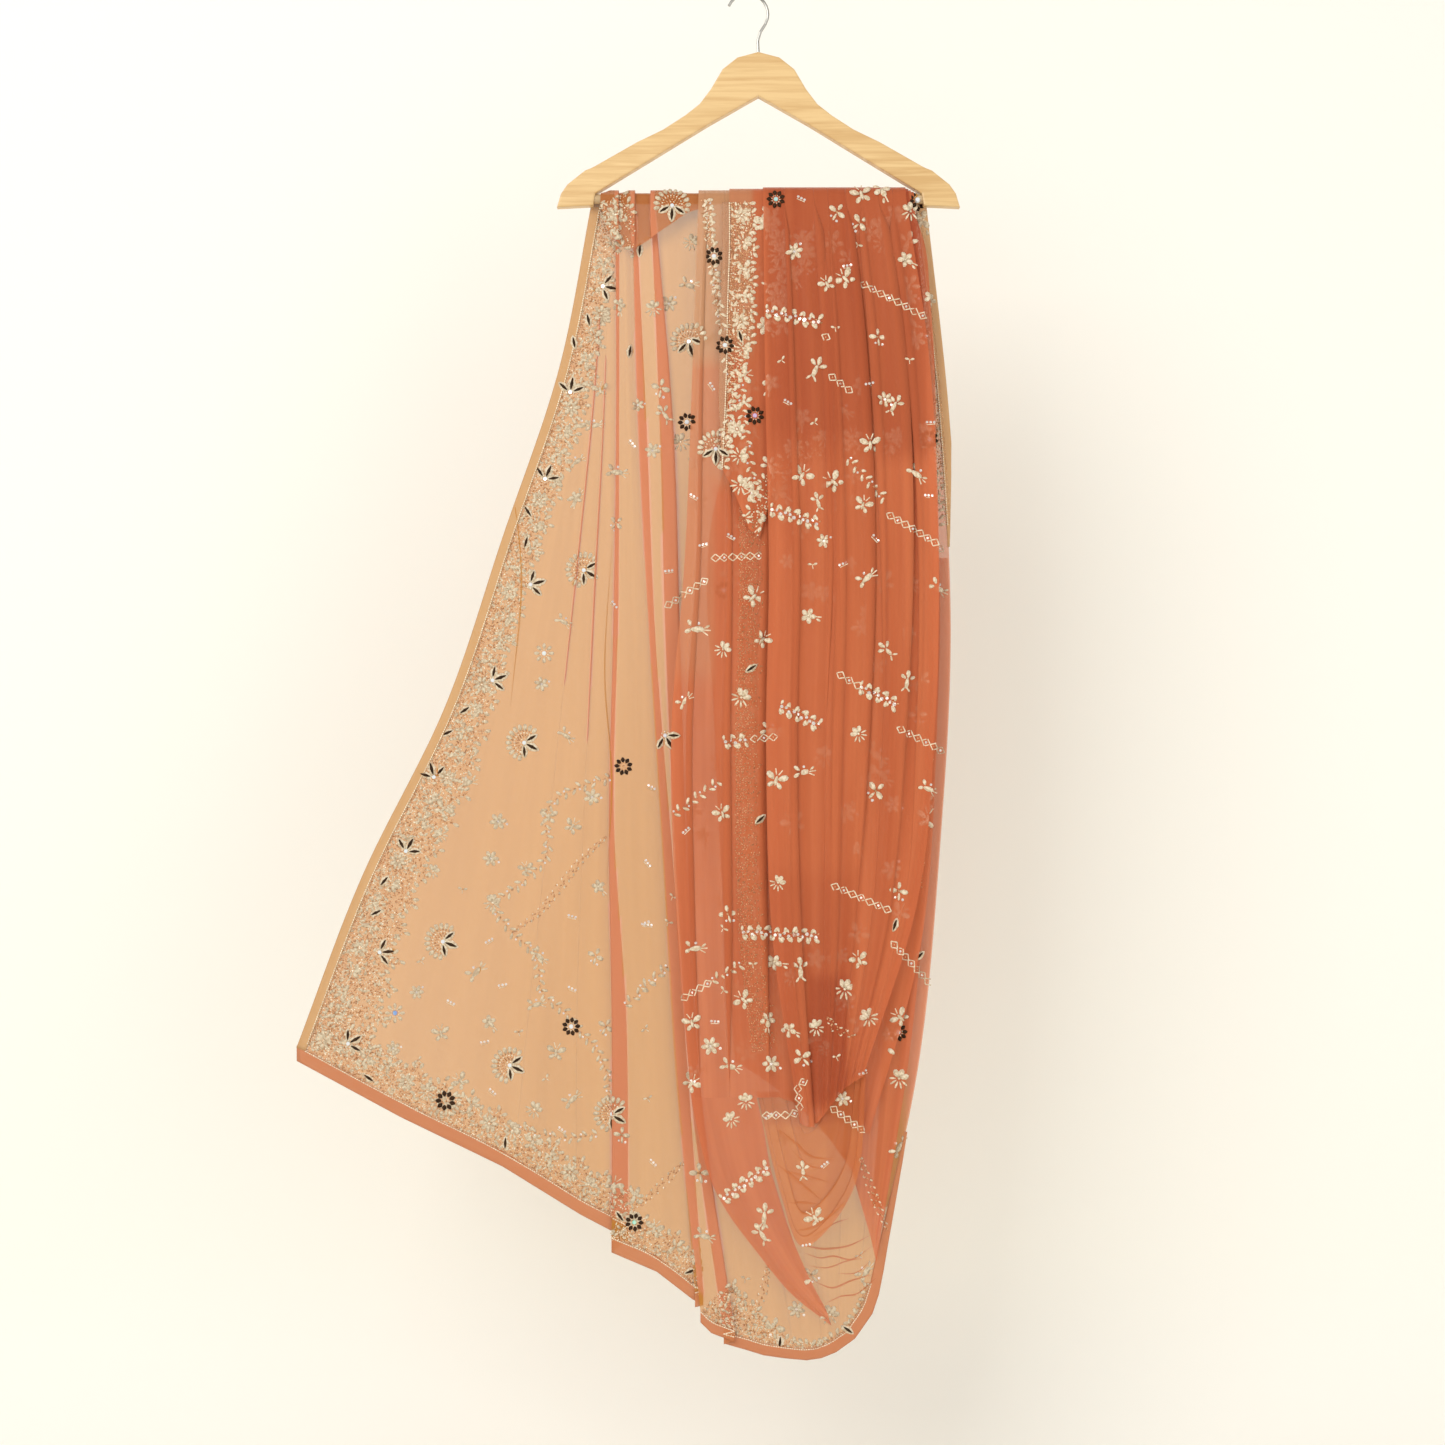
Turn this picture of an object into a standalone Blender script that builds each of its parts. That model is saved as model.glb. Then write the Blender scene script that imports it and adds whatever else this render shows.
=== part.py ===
"""A beaded net dupatta stole hung over the trouser bar of a wooden hanger.

Metres, +Z up. The front of the cloth faces -Y. The origin is the inner top of the hanger's hook,
where a rail or a nail carries it. The tables give sizes in millimetres, as a maker would chalk them.

The stole is one cloth laid over the bar: one half hangs behind the bar, spread wide at the left
and gathered at the right, and the other half falls in front of it in close layers that end in a
loose cowl. Each stretch of the cloth that shows is a wall of its own.
"""
import math

import bmesh
import bpy
from mathutils import Vector

MM = 0.001

# hanger
HANGER_CENTRE = 0.012
ARM_THICKNESS = 0.014
ARM_ROUND = 0.002
BAR_RADIUS = 0.0055
BAR_Z = -0.225
BAR_MOUTH = 0.170
BAR_END = 0.192
WIRE_RADIUS = 0.0016
HOOK_RADIUS = 0.0226
STEM_BOTTOM_Z = -0.082
CLEAR = 0.0003

# cloth
WALL = 0.0012
TURN = 2.4
SETTLE_FRONT = 0.150
SETTLE_BACK = 0.045
FALL_ROWS = 17
SPREAD_FALL_ROWS = 20
FLAP_FALL_ROWS = 10
ARC_ROWS = 6

# Outline of the left arm, in millimetres from the hanger's centre line and down from the origin.
ARM_OUTLINE = (
    ("crown", 0.0, -64.0),
    ("crown side", -23.0, -70.0),
    ("neck top", -39.5, -83.0),
    ("neck", -52.5, -105.0),
    ("neck foot", -65.0, -121.5),
    ("shoulder", -81.0, -134.0),
    ("shoulder end", -105.0, -149.5),
    ("arm", -134.0, -163.5),
    ("notch in", -180.5, -190.0),
    ("notch", -184.5, -192.0),
    ("notch out", -191.0, -194.5),
    ("tip top", -210.5, -210.0),
    ("tip", -217.5, -220.0),
    ("tip end", -222.0, -235.0),
    ("heel", -182.0, -233.0),
    ("heel in", -179.5, -220.0),
    ("under shoulder", -105.0, -174.5),
    ("under neck", -56.0, -144.5),
    ("under crown", 0.0, -112.5),
)

# The wire's path, in millimetres from the hook's centre line and down from the origin.
STEM_PATH = (
    ("stem foot", 12.0, STEM_BOTTOM_Z / MM),
    ("stem", 12.0, -64.0),
    ("stem top", 11.4, -50.0),
    ("bend", 14.2, -40.5),
    ("hook foot", 19.6, -32.0),
)
HOOK_CENTRE_Z = -0.021
HOOK_FROM = -12
HOOK_TO = 166

# Each row is one line of the cloth from the bar to the hem: how far across it lies at the bar and at
# each fifth of its fall, how far below the bar its hem is, how far it is lifted towards the viewer,
# how far the cloth runs on past the top of the bar, and how far out it turns round the bar when it
# lies on other turns. Two rows that share a line are the two sides of a fold.
ROW = (
    "across_0", "across_1", "across_2", "across_3", "across_4", "across_5",
    "hem", "lift", "over", "out",
)
LAYER = 1.6

SPREAD_ROWS = (
    (-162, -199, -262, -326, -418, -490, 941, 0.0, 8, 0.0),
    (-159, -187, -236, -284, -336, -384, 998, 1.2, 18, 0.8),
    (-156, -172, -195, -220, -246, -271, 1053, 0.2, 30, LAYER),
    (-152, -158, -169, -178, -185, -185, 1106, 0.6, 40, 2 * LAYER),
    (-142, -142, -143, -148, -134, -132, 1134, 0.0, 47, 2 * LAYER),
    (-142, -142, -143, -148, -134, -132, 1134, TURN, 47, LAYER),
    (-146, -145, -148, -153, -150, -150, 1147, TURN, 45, LAYER),
    (-146, -145, -148, -153, -150, -150, 1147, 2 * TURN, 45, 0.0),
    (-138, -132, -124, -118, -106, -100, 1169, 2.6, 54, 0.6),
    (-131, -123, -111, -97, -81, -61, 1200, 0.0, 57, 2 * LAYER),
    (-124, -112, -102, -83, -66, -49, 1206, 0.0, 55, 2 * LAYER),
    (-124, -112, -102, -83, -66, -49, 1206, TURN, 55, LAYER),
    (-128, -121, -108, -93, -78, -58, 1208, 3.0, 56, LAYER),
)
UNDER_ROWS = (
    (-127, -121, -108, -93, -78, -52, 1228, 2.2 * TURN, 56, 0.0),
    (-118, -108, -100, -84, -66, -40, 1240, 2.0 * TURN, 52, 0.0),
    (-103, -82, -74, -66, -50, -14, 1250, 2.0 * TURN, 43, 0.0),
    (-103, -82, -74, -66, -50, -14, 1250, TURN, 43, LAYER),
    (-107, -97, -90, -78, -61, -26, 1253, TURN, 45, LAYER),
    (-107, -97, -90, -78, -61, -26, 1253, 0.0, 45, 2 * LAYER),
    (-88, -66, -56, -48, -37, 2, 1261, 0.0, 32, 2 * LAYER),
    (-66, -52, -44, -36, -25, 18, 1266, 0.4, 16, 0.0),
    (-38, -28, -20, -12, 0, 40, 1269, 1.6, 8, 0.0),
    (-14, -3, 5, 14, 27, 62, 1272, 0.2, 4, 0.0),
    (20, 30, 38, 46, 54, 76, 1270, 1.6, 4, 0.0),
    (60, 68, 79, 87, 86, 91, 1265, 0.0, 4, 0.0),
    (113, 126, 137, 135, 124, 110, 1251, 1.8, 4, 0.0),
    (158, 172, 184, 177, 154, 128, 1226, 0.2, 4, 0.0),
    (187, 213, 225, 213, 189, 137, 1198, 0.8, 4, 0.0),
)
INNER_ROWS = (
    (10, 0, -43, -37, -28, -14, 951, 0.0, 3),
    (17, 9, -16, -9, 0, 14, 968, 1.6, 3),
    (24, 20, 10, 19, 30, 41, 988, 0.2, 3),
    (38, 40, 42, 48, 54, 60, 1005, 1.7, 3),
    (58, 65, 71, 75, 78, 78, 1022, 0.0, 3),
    (88, 96, 102, 105, 104, 96, 1044, 1.5, 3),
    (113, 124, 131, 133, 126, 114, 1070, 0.1, 3),
    (142, 162, 171, 167, 151, 136, 1146, 1.6, 3),
    (165, 184, 193, 186, 166, 139, 1160, 0.2, 3),
    (183, 203, 212, 201, 179, 142, 1172, 1.2, 3),
)
MID_ROWS = (
    (-54, -61, -69, -84, -78, -62, 990, 3.2, 3),
    (-46, -52, -55, -66, -62, -50, 990, 0.4, 3),
    (-39, -39, -41, -48, -46, -38, 990, 2.8, 3),
    (-19, -17, -14, -18, -18, -12, 990, 0.2, 3),
    (3, 5, 5, -1, -4, 10, 990, 3.0, 3),
    (20, 25, 23, 20, 26, 34, 990, 0.0, 3),
    (40, 46, 46, 43, 44, 48, 994, 2.8, 3),
    (58, 63, 67, 65, 62, 60, 998, 0.4, 3),
    (86, 92, 96, 96, 90, 80, 1004, 2.6, 3),
    (113, 120, 124, 126, 119, 98, 1012, 0.2, 3),
    (140, 150, 156, 156, 144, 112, 1020, 2.8, 3),
    (160, 175, 182, 182, 166, 124, 1026, 0.4, 3),
    (180, 202, 209, 207, 190, 134, 1030, 1.6, 3),
)
FLAP_ROWS = (
    (-20, -20, -22, -23, -25, -28, 299, 0.4, 3),
    (-10, -11, -12, -13, -14, -16, 322, 0.0, 3),
    (1, 1, 1, 1, 1, 2, 366, 0.8, 3),
    (11, 11, 11, 11, 12, 13, 374, 0.0, 3),
    (18, 19, 20, 22, 24, 26, 330, 0.9, 3),
    (58, 60, 61, 62, 63, 65, 288, 0.0, 3),
    (92, 96, 97, 99, 100, 101, 285, 1.0, 3),
    (124, 129, 131, 133, 134, 135, 286, 0.0, 3),
    (152, 163, 167, 170, 172, 173, 280, 0.9, 3),
    (177, 195, 200, 204, 206, 207, 277, 0.2, 3),
)

# The pleats of the outer fall: its two sides, and how far across it each fold lies.
FRONT_LEFT = (17, 19, 23, 20, 27, 57)
FRONT_RIGHT = (174, 200, 209, 205, 186, 126)
FRONT_PLEATS = (
    (0.00, 1015, 2.6), (0.05, 1018, 0.4), (0.13, 1020, 2.4), (0.21, 1018, 0.0), (0.29, 1014, 3.0),
    (0.36, 1009, 0.2), (0.41, 1004, 3.2), (0.48, 998, 0.4), (0.55, 992, 2.8), (0.61, 986, 0.0),
    (0.67, 981, 3.2), (0.73, 977, 0.4), (0.79, 974, 2.8), (0.85, 971, 0.0), (0.90, 969, 2.6),
    (0.95, 967, 0.4), (1.00, 965, 1.8),
)

# The two sides of the band that the middle fall narrows to, from its top to the cowl's hem:
# left side across and down, right side across and down.
BAND_ROWS = (
    (-61.5, 990.6, 9.5, 990.6),
    (-52, 1039, 18, 1026),
    (-41, 1079, 25, 1066),
    (-22, 1116, 38, 1110),
    (6, 1154, 51, 1149),
    (46, 1203, 68, 1188),
    (92, 1240, 86, 1222),
)
BAND_SHARES = ((0.0, 3.2), (0.17, 0.4), (0.34, 2.8), (0.70, 0.2), (1.0, 3.0))
BAND_FLATTENED = 0.4

# The cowl's hanging folds: its inner and its outer curve, as places across and down.
COWL_INNER = ((52, 990.4), (56, 1006), (63, 1020), (77, 1008), (92, 976))
COWL_OUTER = ((10, 991), (36, 1094), (63, 1151), (118, 1082), (130, 960))
COWL_FOLDS = 9
COWL_STEPS = 12
COWL_FOLD_LIFT = 1.8
COWL_RIGHT_BACK = 2.8

# How far each hanging wall stands before (-) or behind (+) the bar's axis: at the bar, hanging.
STAND = {
    "fall_spread": (6.4, 6.4),
    "fall_under": (6.4, 6.4),
    "fall_inner": (-8.0, -2.6),
    "fall_mid": (-9.6, -8.0),
    "flap_border": (-11.2, -15.6),
    "fall_front": (-12.8, -20.0),
    "swag_band": (-8.0, -10.5),
    "swag_cowl": (-18.5, -22.6),
}
WIDEST_CELL = 60
WIDEST_UNDER_CELL = 40

# The folded bindings: their widths, and the shares of a line's fall between which they run.
END_EDGING_WIDTH = 11.0
SIDE_EDGING_WIDTH = 10.0
FLAP_EDGING_WIDTH = 9.0
HEM_EDGING_WIDTH = 17.0
COWL_EDGING_WIDTH = 13.0
BELOW_WOOD = 0.015
SIDE_EDGING_END = 0.32
COWL_EDGING_RISE = (0.985, 0.86)
FLAP_EDGING_TOP = 0.02
EDGING_NARROW = 0.2

# The right border, folded behind the under fall between two shares of its fall.
TURNED_WIDTH = 52.0
TURNED_TOP = 0.33
TURNED_END = 0.83
TURNED_NARROW = 0.35
TURNED_BEHIND = 0.0026
TURNED_INSET = 0.001
TURNED_ROWS = 12


def clear_scene():
    for obj in list(bpy.data.objects):
        bpy.data.objects.remove(obj, do_unlink=True)


def new_collection(name):
    collection = bpy.data.collections.new(name)
    bpy.context.scene.collection.children.link(collection)
    return collection


def finish_material(name, colour, roughness, metallic=0.0):
    material = bpy.data.materials.new(name)
    material.use_nodes = True
    shader = material.node_tree.nodes["Principled BSDF"]
    shader.inputs["Base Color"].default_value = (*colour, 1.0)
    shader.inputs["Roughness"].default_value = roughness
    shader.inputs["Metallic"].default_value = metallic
    return material


def add_object(name, data, collection, material):
    obj = bpy.data.objects.new(name, data)
    collection.objects.link(obj)
    obj.data.materials.append(material)
    return obj


def smooth_step(share):
    share = min(max(share, 0.0), 1.0)
    return share * share * (3.0 - 2.0 * share)


def curve_through(values, share):
    """The value of a smooth curve through evenly spaced values, at a share of its length."""
    place = min(max(share, 0.0), 1.0) * (len(values) - 1)
    start = min(int(place), len(values) - 2)
    part = place - start
    before = values[start - 1] if start else 2 * values[0] - values[1]
    after = values[start + 2] if start + 2 < len(values) else 2 * values[-1] - values[-2]
    here, there = values[start], values[start + 1]
    rise = there - here
    slope_in = 0.5 * (there - before)
    slope_out = 0.5 * (after - here)
    bend = slope_in + slope_out - 2.0 * rise
    sag = 3.0 * rise - 2.0 * slope_in - slope_out
    return here + part * (slope_in + part * (sag + part * bend))


# hanger


def mesh_from_curve(name, curve, collection, material):
    """A curve object made into a mesh with its caps welded, so that it can be cut."""
    holder = bpy.data.objects.new(name + "_curve", curve)
    bpy.context.scene.collection.objects.link(holder)
    depsgraph = bpy.context.evaluated_depsgraph_get()
    mesh = bpy.data.meshes.new_from_object(holder.evaluated_get(depsgraph))
    bpy.data.objects.remove(holder, do_unlink=True)
    welded = bmesh.new()
    welded.from_mesh(mesh)
    bmesh.ops.remove_doubles(welded, verts=welded.verts, dist=0.00001)
    welded.to_mesh(mesh)
    welded.free()
    return add_object(name, mesh, collection, material)


def outline_curve(name, points, thickness, edge_round):
    curve = bpy.data.curves.new(name, "CURVE")
    curve.dimensions = "2D"
    curve.fill_mode = "BOTH"
    curve.extrude = thickness / 2 - edge_round
    curve.bevel_depth = edge_round
    curve.bevel_resolution = 1
    curve.offset = -edge_round
    spline = curve.splines.new("POLY")
    spline.points.add(len(points) - 1)
    for point, (across, up) in zip(spline.points, points):
        point.co = (across, up, 0.0, 1.0)
    spline.use_cyclic_u = True
    return curve


def whole_outline():
    """Both halves of the arms' outline, as a closed run of points in metres."""
    left = [(across * MM, up * MM) for _, across, up in ARM_OUTLINE]
    return left + [(-across, up) for across, up in reversed(left[1:-1])]


def cut_hole(target, radius, depth, place, axis, guides):
    """A round hole: the cutter is a cylinder of the hole's size, centred at its place."""
    bpy.ops.mesh.primitive_cylinder_add(vertices=24, radius=radius, depth=depth, location=place)
    cutter = bpy.context.active_object
    cutter.name = target.name + "_cutter"
    if axis == "X":
        cutter.rotation_euler = (0.0, math.pi / 2, 0.0)
    for collection in list(cutter.users_collection):
        collection.objects.unlink(cutter)
    guides.objects.link(cutter)
    cutter.hide_render = True
    cutter.display_type = "WIRE"
    cut = target.modifiers.new("hole", "BOOLEAN")
    cut.operation = "DIFFERENCE"
    cut.object = cutter


def make_arms(collection, guides):
    wood = finish_material("wood", (0.66, 0.46, 0.24), 0.42)
    curve = outline_curve("arms", whole_outline(), ARM_THICKNESS, ARM_ROUND)
    arms = mesh_from_curve("hanger_arms", curve, collection, wood)
    arms.rotation_euler = (math.pi / 2, 0.0, 0.0)
    arms.location = (HANGER_CENTRE, 0.0, 0.0)
    for side in (-1, 1):
        place = (HANGER_CENTRE + side * (BAR_MOUTH + BAR_END) / 2, 0.0, BAR_Z)
        cut_hole(arms, BAR_RADIUS + CLEAR, BAR_END - BAR_MOUTH, place, "X", guides)
    stem_depth = 0.040
    stem_place = (HANGER_CENTRE, 0.0, STEM_BOTTOM_Z - CLEAR + stem_depth / 2)
    cut_hole(arms, WIRE_RADIUS + CLEAR, stem_depth, stem_place, "Z", guides)
    arms.data.set_sharp_from_angle(angle=math.radians(40))
    return arms


def make_bar(collection):
    wood = finish_material("bar wood", (0.52, 0.36, 0.20), 0.48)
    half = BAR_END - CLEAR
    curve = bpy.data.curves.new("bar", "CURVE")
    curve.dimensions = "3D"
    curve.bevel_depth = BAR_RADIUS
    curve.bevel_resolution = 4
    curve.use_fill_caps = True
    spline = curve.splines.new("POLY")
    spline.points.add(1)
    for point, side in zip(spline.points, (-1, 1)):
        point.co = (HANGER_CENTRE + side * half, 0.0, BAR_Z, 1.0)
    return add_object("hanger_bar", curve, collection, wood)


def make_hook(collection):
    steel = finish_material("steel", (0.62, 0.60, 0.55), 0.28, 1.0)
    route = [Vector((across * MM, 0.0, up * MM)) for _, across, up in STEM_PATH]
    for degrees in range(HOOK_FROM, HOOK_TO + 1, 12):
        angle = math.radians(degrees)
        turn = Vector((math.cos(angle), 0.0, math.sin(angle)))
        route.append(Vector((0.0, 0.0, HOOK_CENTRE_Z)) + turn * HOOK_RADIUS)
    curve = bpy.data.curves.new("hook", "CURVE")
    curve.dimensions = "3D"
    curve.bevel_depth = WIRE_RADIUS
    curve.bevel_resolution = 2
    curve.use_fill_caps = True
    spline = curve.splines.new("POLY")
    spline.points.add(len(route) - 1)
    for point, place in zip(spline.points, route):
        point.co = (*place, 1.0)
    return add_object("hanger_hook", curve, collection, steel)


# cloth


def cloth_line(row, stand, share):
    """The point of one line of hanging cloth at a share of its fall below the bar."""
    at_bar, hanging = stand
    cells = dict(zip(ROW, row))
    fall = share * cells["hem"] * MM
    settled = smooth_step(fall / (SETTLE_BACK if at_bar > 0 else SETTLE_FRONT))
    at_bar += math.copysign(cells.get("out", 0.0), at_bar)
    depth = at_bar + (hanging - at_bar) * settled - cells["lift"] * settled
    across = curve_through(row[:6], share)
    return Vector((across * MM, depth * MM, BAR_Z - fall))


def bar_line(row, stand):
    """The points of one line of cloth over the bar, from its end on the far side to the near side."""
    cells = dict(zip(ROW, row))
    radius = abs(stand[0]) + cells.get("out", 0.0)
    side = math.copysign(1.0, stand[0])
    half_turn = math.pi * radius
    ways = [half_turn + cells["over"], half_turn + cells["over"] / 2]
    ways += [half_turn * (1 - step / ARC_ROWS) for step in range(ARC_ROWS)]
    points = []
    for way in ways:
        angle = min(way, half_turn) / radius
        depth = side * radius * math.cos(angle)
        rise = radius * math.sin(angle) - max(0.0, way - half_turn)
        points.append(Vector((row[0] * MM, depth * MM, BAR_Z + rise * MM)))
    return points


def split_rows(rows, widest):
    """The rows with others worked out between any two that lie further apart than the widest."""
    filled = [tuple(float(value) for value in rows[0])]
    for before, after in zip(rows, rows[1:]):
        span = max(abs(b - a) for a, b in zip(before[:6], after[:6]))
        parts = max(1, math.ceil(span / widest))
        for part in range(1, parts + 1):
            share = part / parts
            row = [a + (b - a) * share for a, b in zip(before, after)]
            row[7] = before[7] + (after[7] - before[7]) * smooth_step(share)
            filled.append(tuple(row))
    return filled


def wall_from_lines(name, lines, collection, material):
    """A closed wall of cloth through lines of points that all have the same count."""
    grid = bmesh.new()
    verts = [[grid.verts.new(point) for point in line] for line in lines]
    for left, right in zip(verts, verts[1:]):
        for low in range(len(left) - 1):
            grid.faces.new((left[low], right[low], right[low + 1], left[low + 1]))
    bmesh.ops.recalc_face_normals(grid, faces=grid.faces)
    mesh = bpy.data.meshes.new(name)
    grid.to_mesh(mesh)
    grid.free()
    mesh.shade_smooth()
    wall = add_object(name, mesh, collection, material)
    solid = wall.modifiers.new("wall", "SOLIDIFY")
    solid.thickness = WALL
    solid.offset = 0.0
    solid.use_even_offset = False
    return wall


def fall_lines(rows, stand, count):
    lines = []
    for row in rows:
        near = [cloth_line(row, stand, step / count) for step in range(count + 1)]
        lines.append(bar_line(row, stand) + near)
    return lines


def make_fall(name, rows, widest, collection, material, count=FALL_ROWS):
    lines = fall_lines(split_rows(rows, widest), STAND[name], count)
    return wall_from_lines(name, lines, collection, material)


def front_rows():
    rows = []
    for share, hem, lift in FRONT_PLEATS:
        across = [a + (b - a) * share for a, b in zip(FRONT_LEFT, FRONT_RIGHT)]
        rows.append((*across, hem, lift, 3))
    return rows


def make_band(collection, material):
    """The twisted end of the middle fall, which crosses the under cloth down to its hem."""
    at_top, at_hem = STAND["swag_band"]
    lines = []
    for share, lift in BAND_SHARES:
        line = []
        for step, (left, left_down, right, right_down) in enumerate(BAND_ROWS):
            down_share = step / (len(BAND_ROWS) - 1)
            across = left + (right - left) * share
            down = left_down + (right_down - left_down) * share
            depth = at_top + (at_hem - at_top) * down_share - lift * (1 - BAND_FLATTENED * down_share)
            line.append(Vector((across * MM, depth * MM, BAR_Z - down * MM)))
        lines.append(line)
    return wall_from_lines("swag_band", lines, collection, material)


def make_cowl(collection, material):
    """Loose folds that hang from the left falls to the right ones, nested one under the next."""
    at_top, at_low = STAND["swag_cowl"]
    lines = []
    for fold in range(2 * COWL_FOLDS + 1):
        drop_share = fold / (2 * COWL_FOLDS)
        curve = []
        for inner, outer in zip(COWL_INNER, COWL_OUTER):
            across = inner[0] + (outer[0] - inner[0]) * drop_share
            down = inner[1] + (outer[1] - inner[1]) * drop_share
            curve.append((across, down))
        line = []
        for step in range(COWL_STEPS + 1):
            share = step / COWL_STEPS
            sag = math.sin(math.pi * share)
            lift = (COWL_FOLD_LIFT if fold % 2 else 0.0) * sag * smooth_step(4 * drop_share)
            depth = at_top + (at_low - at_top) * drop_share * sag - lift
            depth += COWL_RIGHT_BACK * share ** 3
            across = curve_through([place[0] for place in curve], share)
            down = curve_through([place[1] for place in curve], share)
            line.append(Vector((across * MM, depth * MM, BAR_Z - down * MM)))
        lines.append(line)
    return wall_from_lines("swag_cowl", lines, collection, material)


def headings_beside(edge, side):
    """The heading square to an edge at each of its points, to its left (-1) or its right (1)."""
    headings = []
    for place in range(len(edge)):
        along = edge[min(place + 1, len(edge) - 1)] - edge[max(place - 1, 0)]
        headings.append(math.degrees(math.atan2(along.x * side, -along.z * side)))
    return headings


def edging_lines(edge, headings, width, tapered=0):
    """A strip sewn along an edge: each point of the edge moved out along its own heading.
    The last few points may be tapered, where the strip turns in behind the cloth."""
    inner, middle, outer = [], [], []
    for place, (point, heading) in enumerate(zip(edge, headings)):
        out = Vector((math.cos(math.radians(heading)), 0.0, math.sin(math.radians(heading))))
        left = len(edge) - 1 - place
        full = min(1.0, left / tapered) if tapered else 1.0
        wide = width * MM * (EDGING_NARROW + (1 - EDGING_NARROW) * full)
        inner.append(point + out * CLEAR)
        middle.append(point + out * (CLEAR + wide / 2))
        outer.append(point + out * (CLEAR + wide))
    return [inner, middle, outer]


def side_edge(row, stand, start, end, count):
    """Points down one line of cloth, from one share of its fall to another."""
    shares = [start + (end - start) * step / count for step in range(count + 1)]
    return [cloth_line(row, stand, share) for share in shares]


def hem_edge(rows, stand):
    return [cloth_line(row, stand, 1.0) for row in rows]


def cowl_headings(hem_count, side_count):
    """Headings that face down along the under fall's hem and swing round to face right up its side."""
    headings = []
    for step in range(hem_count):
        swung = max(0.0, (step / (hem_count - 1) - 0.45) / 0.55)
        headings.append(-90 + 75 * swung ** 1.4)
    for step in range(side_count):
        headings.append(-15 + 12 * step / side_count)
    return headings


def make_edgings(collection):
    sand = finish_material("edging", (0.62, 0.38, 0.19), 0.6)
    spread = split_rows(SPREAD_ROWS, WIDEST_CELL)
    under = split_rows(UNDER_ROWS, WIDEST_UNDER_CELL)
    flap = split_rows(FLAP_ROWS, WIDEST_CELL)

    stand = STAND["fall_spread"]
    end = side_edge(spread[0], stand, BELOW_WOOD, 1.0, 22)
    lines = edging_lines(end, headings_beside(end, -1), END_EDGING_WIDTH)
    wall_from_lines("edging_end", lines, collection, sand)

    hem = hem_edge(spread, stand)
    lines = edging_lines(hem, [-120] + [-90] * (len(hem) - 1), HEM_EDGING_WIDTH)
    wall_from_lines("edging_hem_spread", lines, collection, sand)

    stand = STAND["fall_under"]
    hem = hem_edge(under, stand)
    side = side_edge(under[-1], stand, *COWL_EDGING_RISE, 6)
    headings = cowl_headings(len(hem), len(side))
    lines = edging_lines(hem + side, headings, COWL_EDGING_WIDTH, 7)
    wall_from_lines("edging_cowl", lines, collection, sand)

    side = side_edge(under[-1], stand, BELOW_WOOD, SIDE_EDGING_END, 10)
    lines = edging_lines(side, headings_beside(side, 1), SIDE_EDGING_WIDTH, 3)
    wall_from_lines("edging_side", lines, collection, sand)

    side = side_edge(flap[0], STAND["flap_border"], FLAP_EDGING_TOP, 1.0, 12)
    lines = edging_lines(side, headings_beside(side, -1), FLAP_EDGING_WIDTH, 3)
    wall_from_lines("edging_flap", lines, collection, sand)


def make_turned_border(collection, material):
    """The right border where it is folded behind: a strip of the under fall's points, moved back."""
    row = UNDER_ROWS[-1]
    stand = STAND["fall_under"]
    lines = []
    for share in (0.0, 0.5, 1.0):
        line = []
        for step in range(TURNED_ROWS + 1):
            part = step / TURNED_ROWS
            point = cloth_line(row, stand, TURNED_TOP + (TURNED_END - TURNED_TOP) * part)
            wide = TURNED_NARROW + (1 - TURNED_NARROW) * math.sin(math.pi * part)
            inset = TURNED_INSET + share * TURNED_WIDTH * MM * wide
            line.append(point + Vector((-inset, TURNED_BEHIND, 0.0)))
        lines.append(line)
    return wall_from_lines("border_turned", lines, collection, material)


def build():
    clear_scene()
    collection = new_collection("dupatta_on_hanger")
    guides = new_collection("guides")
    make_arms(collection, guides)
    make_bar(collection)
    make_hook(collection)

    rust = finish_material("net", (0.60, 0.16, 0.06), 0.7)
    tan = finish_material("single net", (0.66, 0.34, 0.15), 0.7)
    make_fall("fall_spread", SPREAD_ROWS, WIDEST_CELL, collection, tan, SPREAD_FALL_ROWS)
    make_fall("fall_under", UNDER_ROWS, WIDEST_UNDER_CELL, collection, tan)
    make_fall("fall_inner", INNER_ROWS, WIDEST_CELL, collection, rust)
    make_fall("fall_mid", MID_ROWS, WIDEST_CELL, collection, rust)
    make_fall("flap_border", FLAP_ROWS, WIDEST_CELL, collection, rust, FLAP_FALL_ROWS)
    make_fall("fall_front", front_rows(), WIDEST_CELL, collection, rust)
    make_band(collection, rust)
    make_cowl(collection, rust)
    make_edgings(collection)
    make_turned_border(collection, rust)


build()
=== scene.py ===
import math
import random

import bmesh
import bpy
import numpy as np
from mathutils import Matrix, Vector, noise
from mathutils.bvhtree import BVHTree


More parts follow.
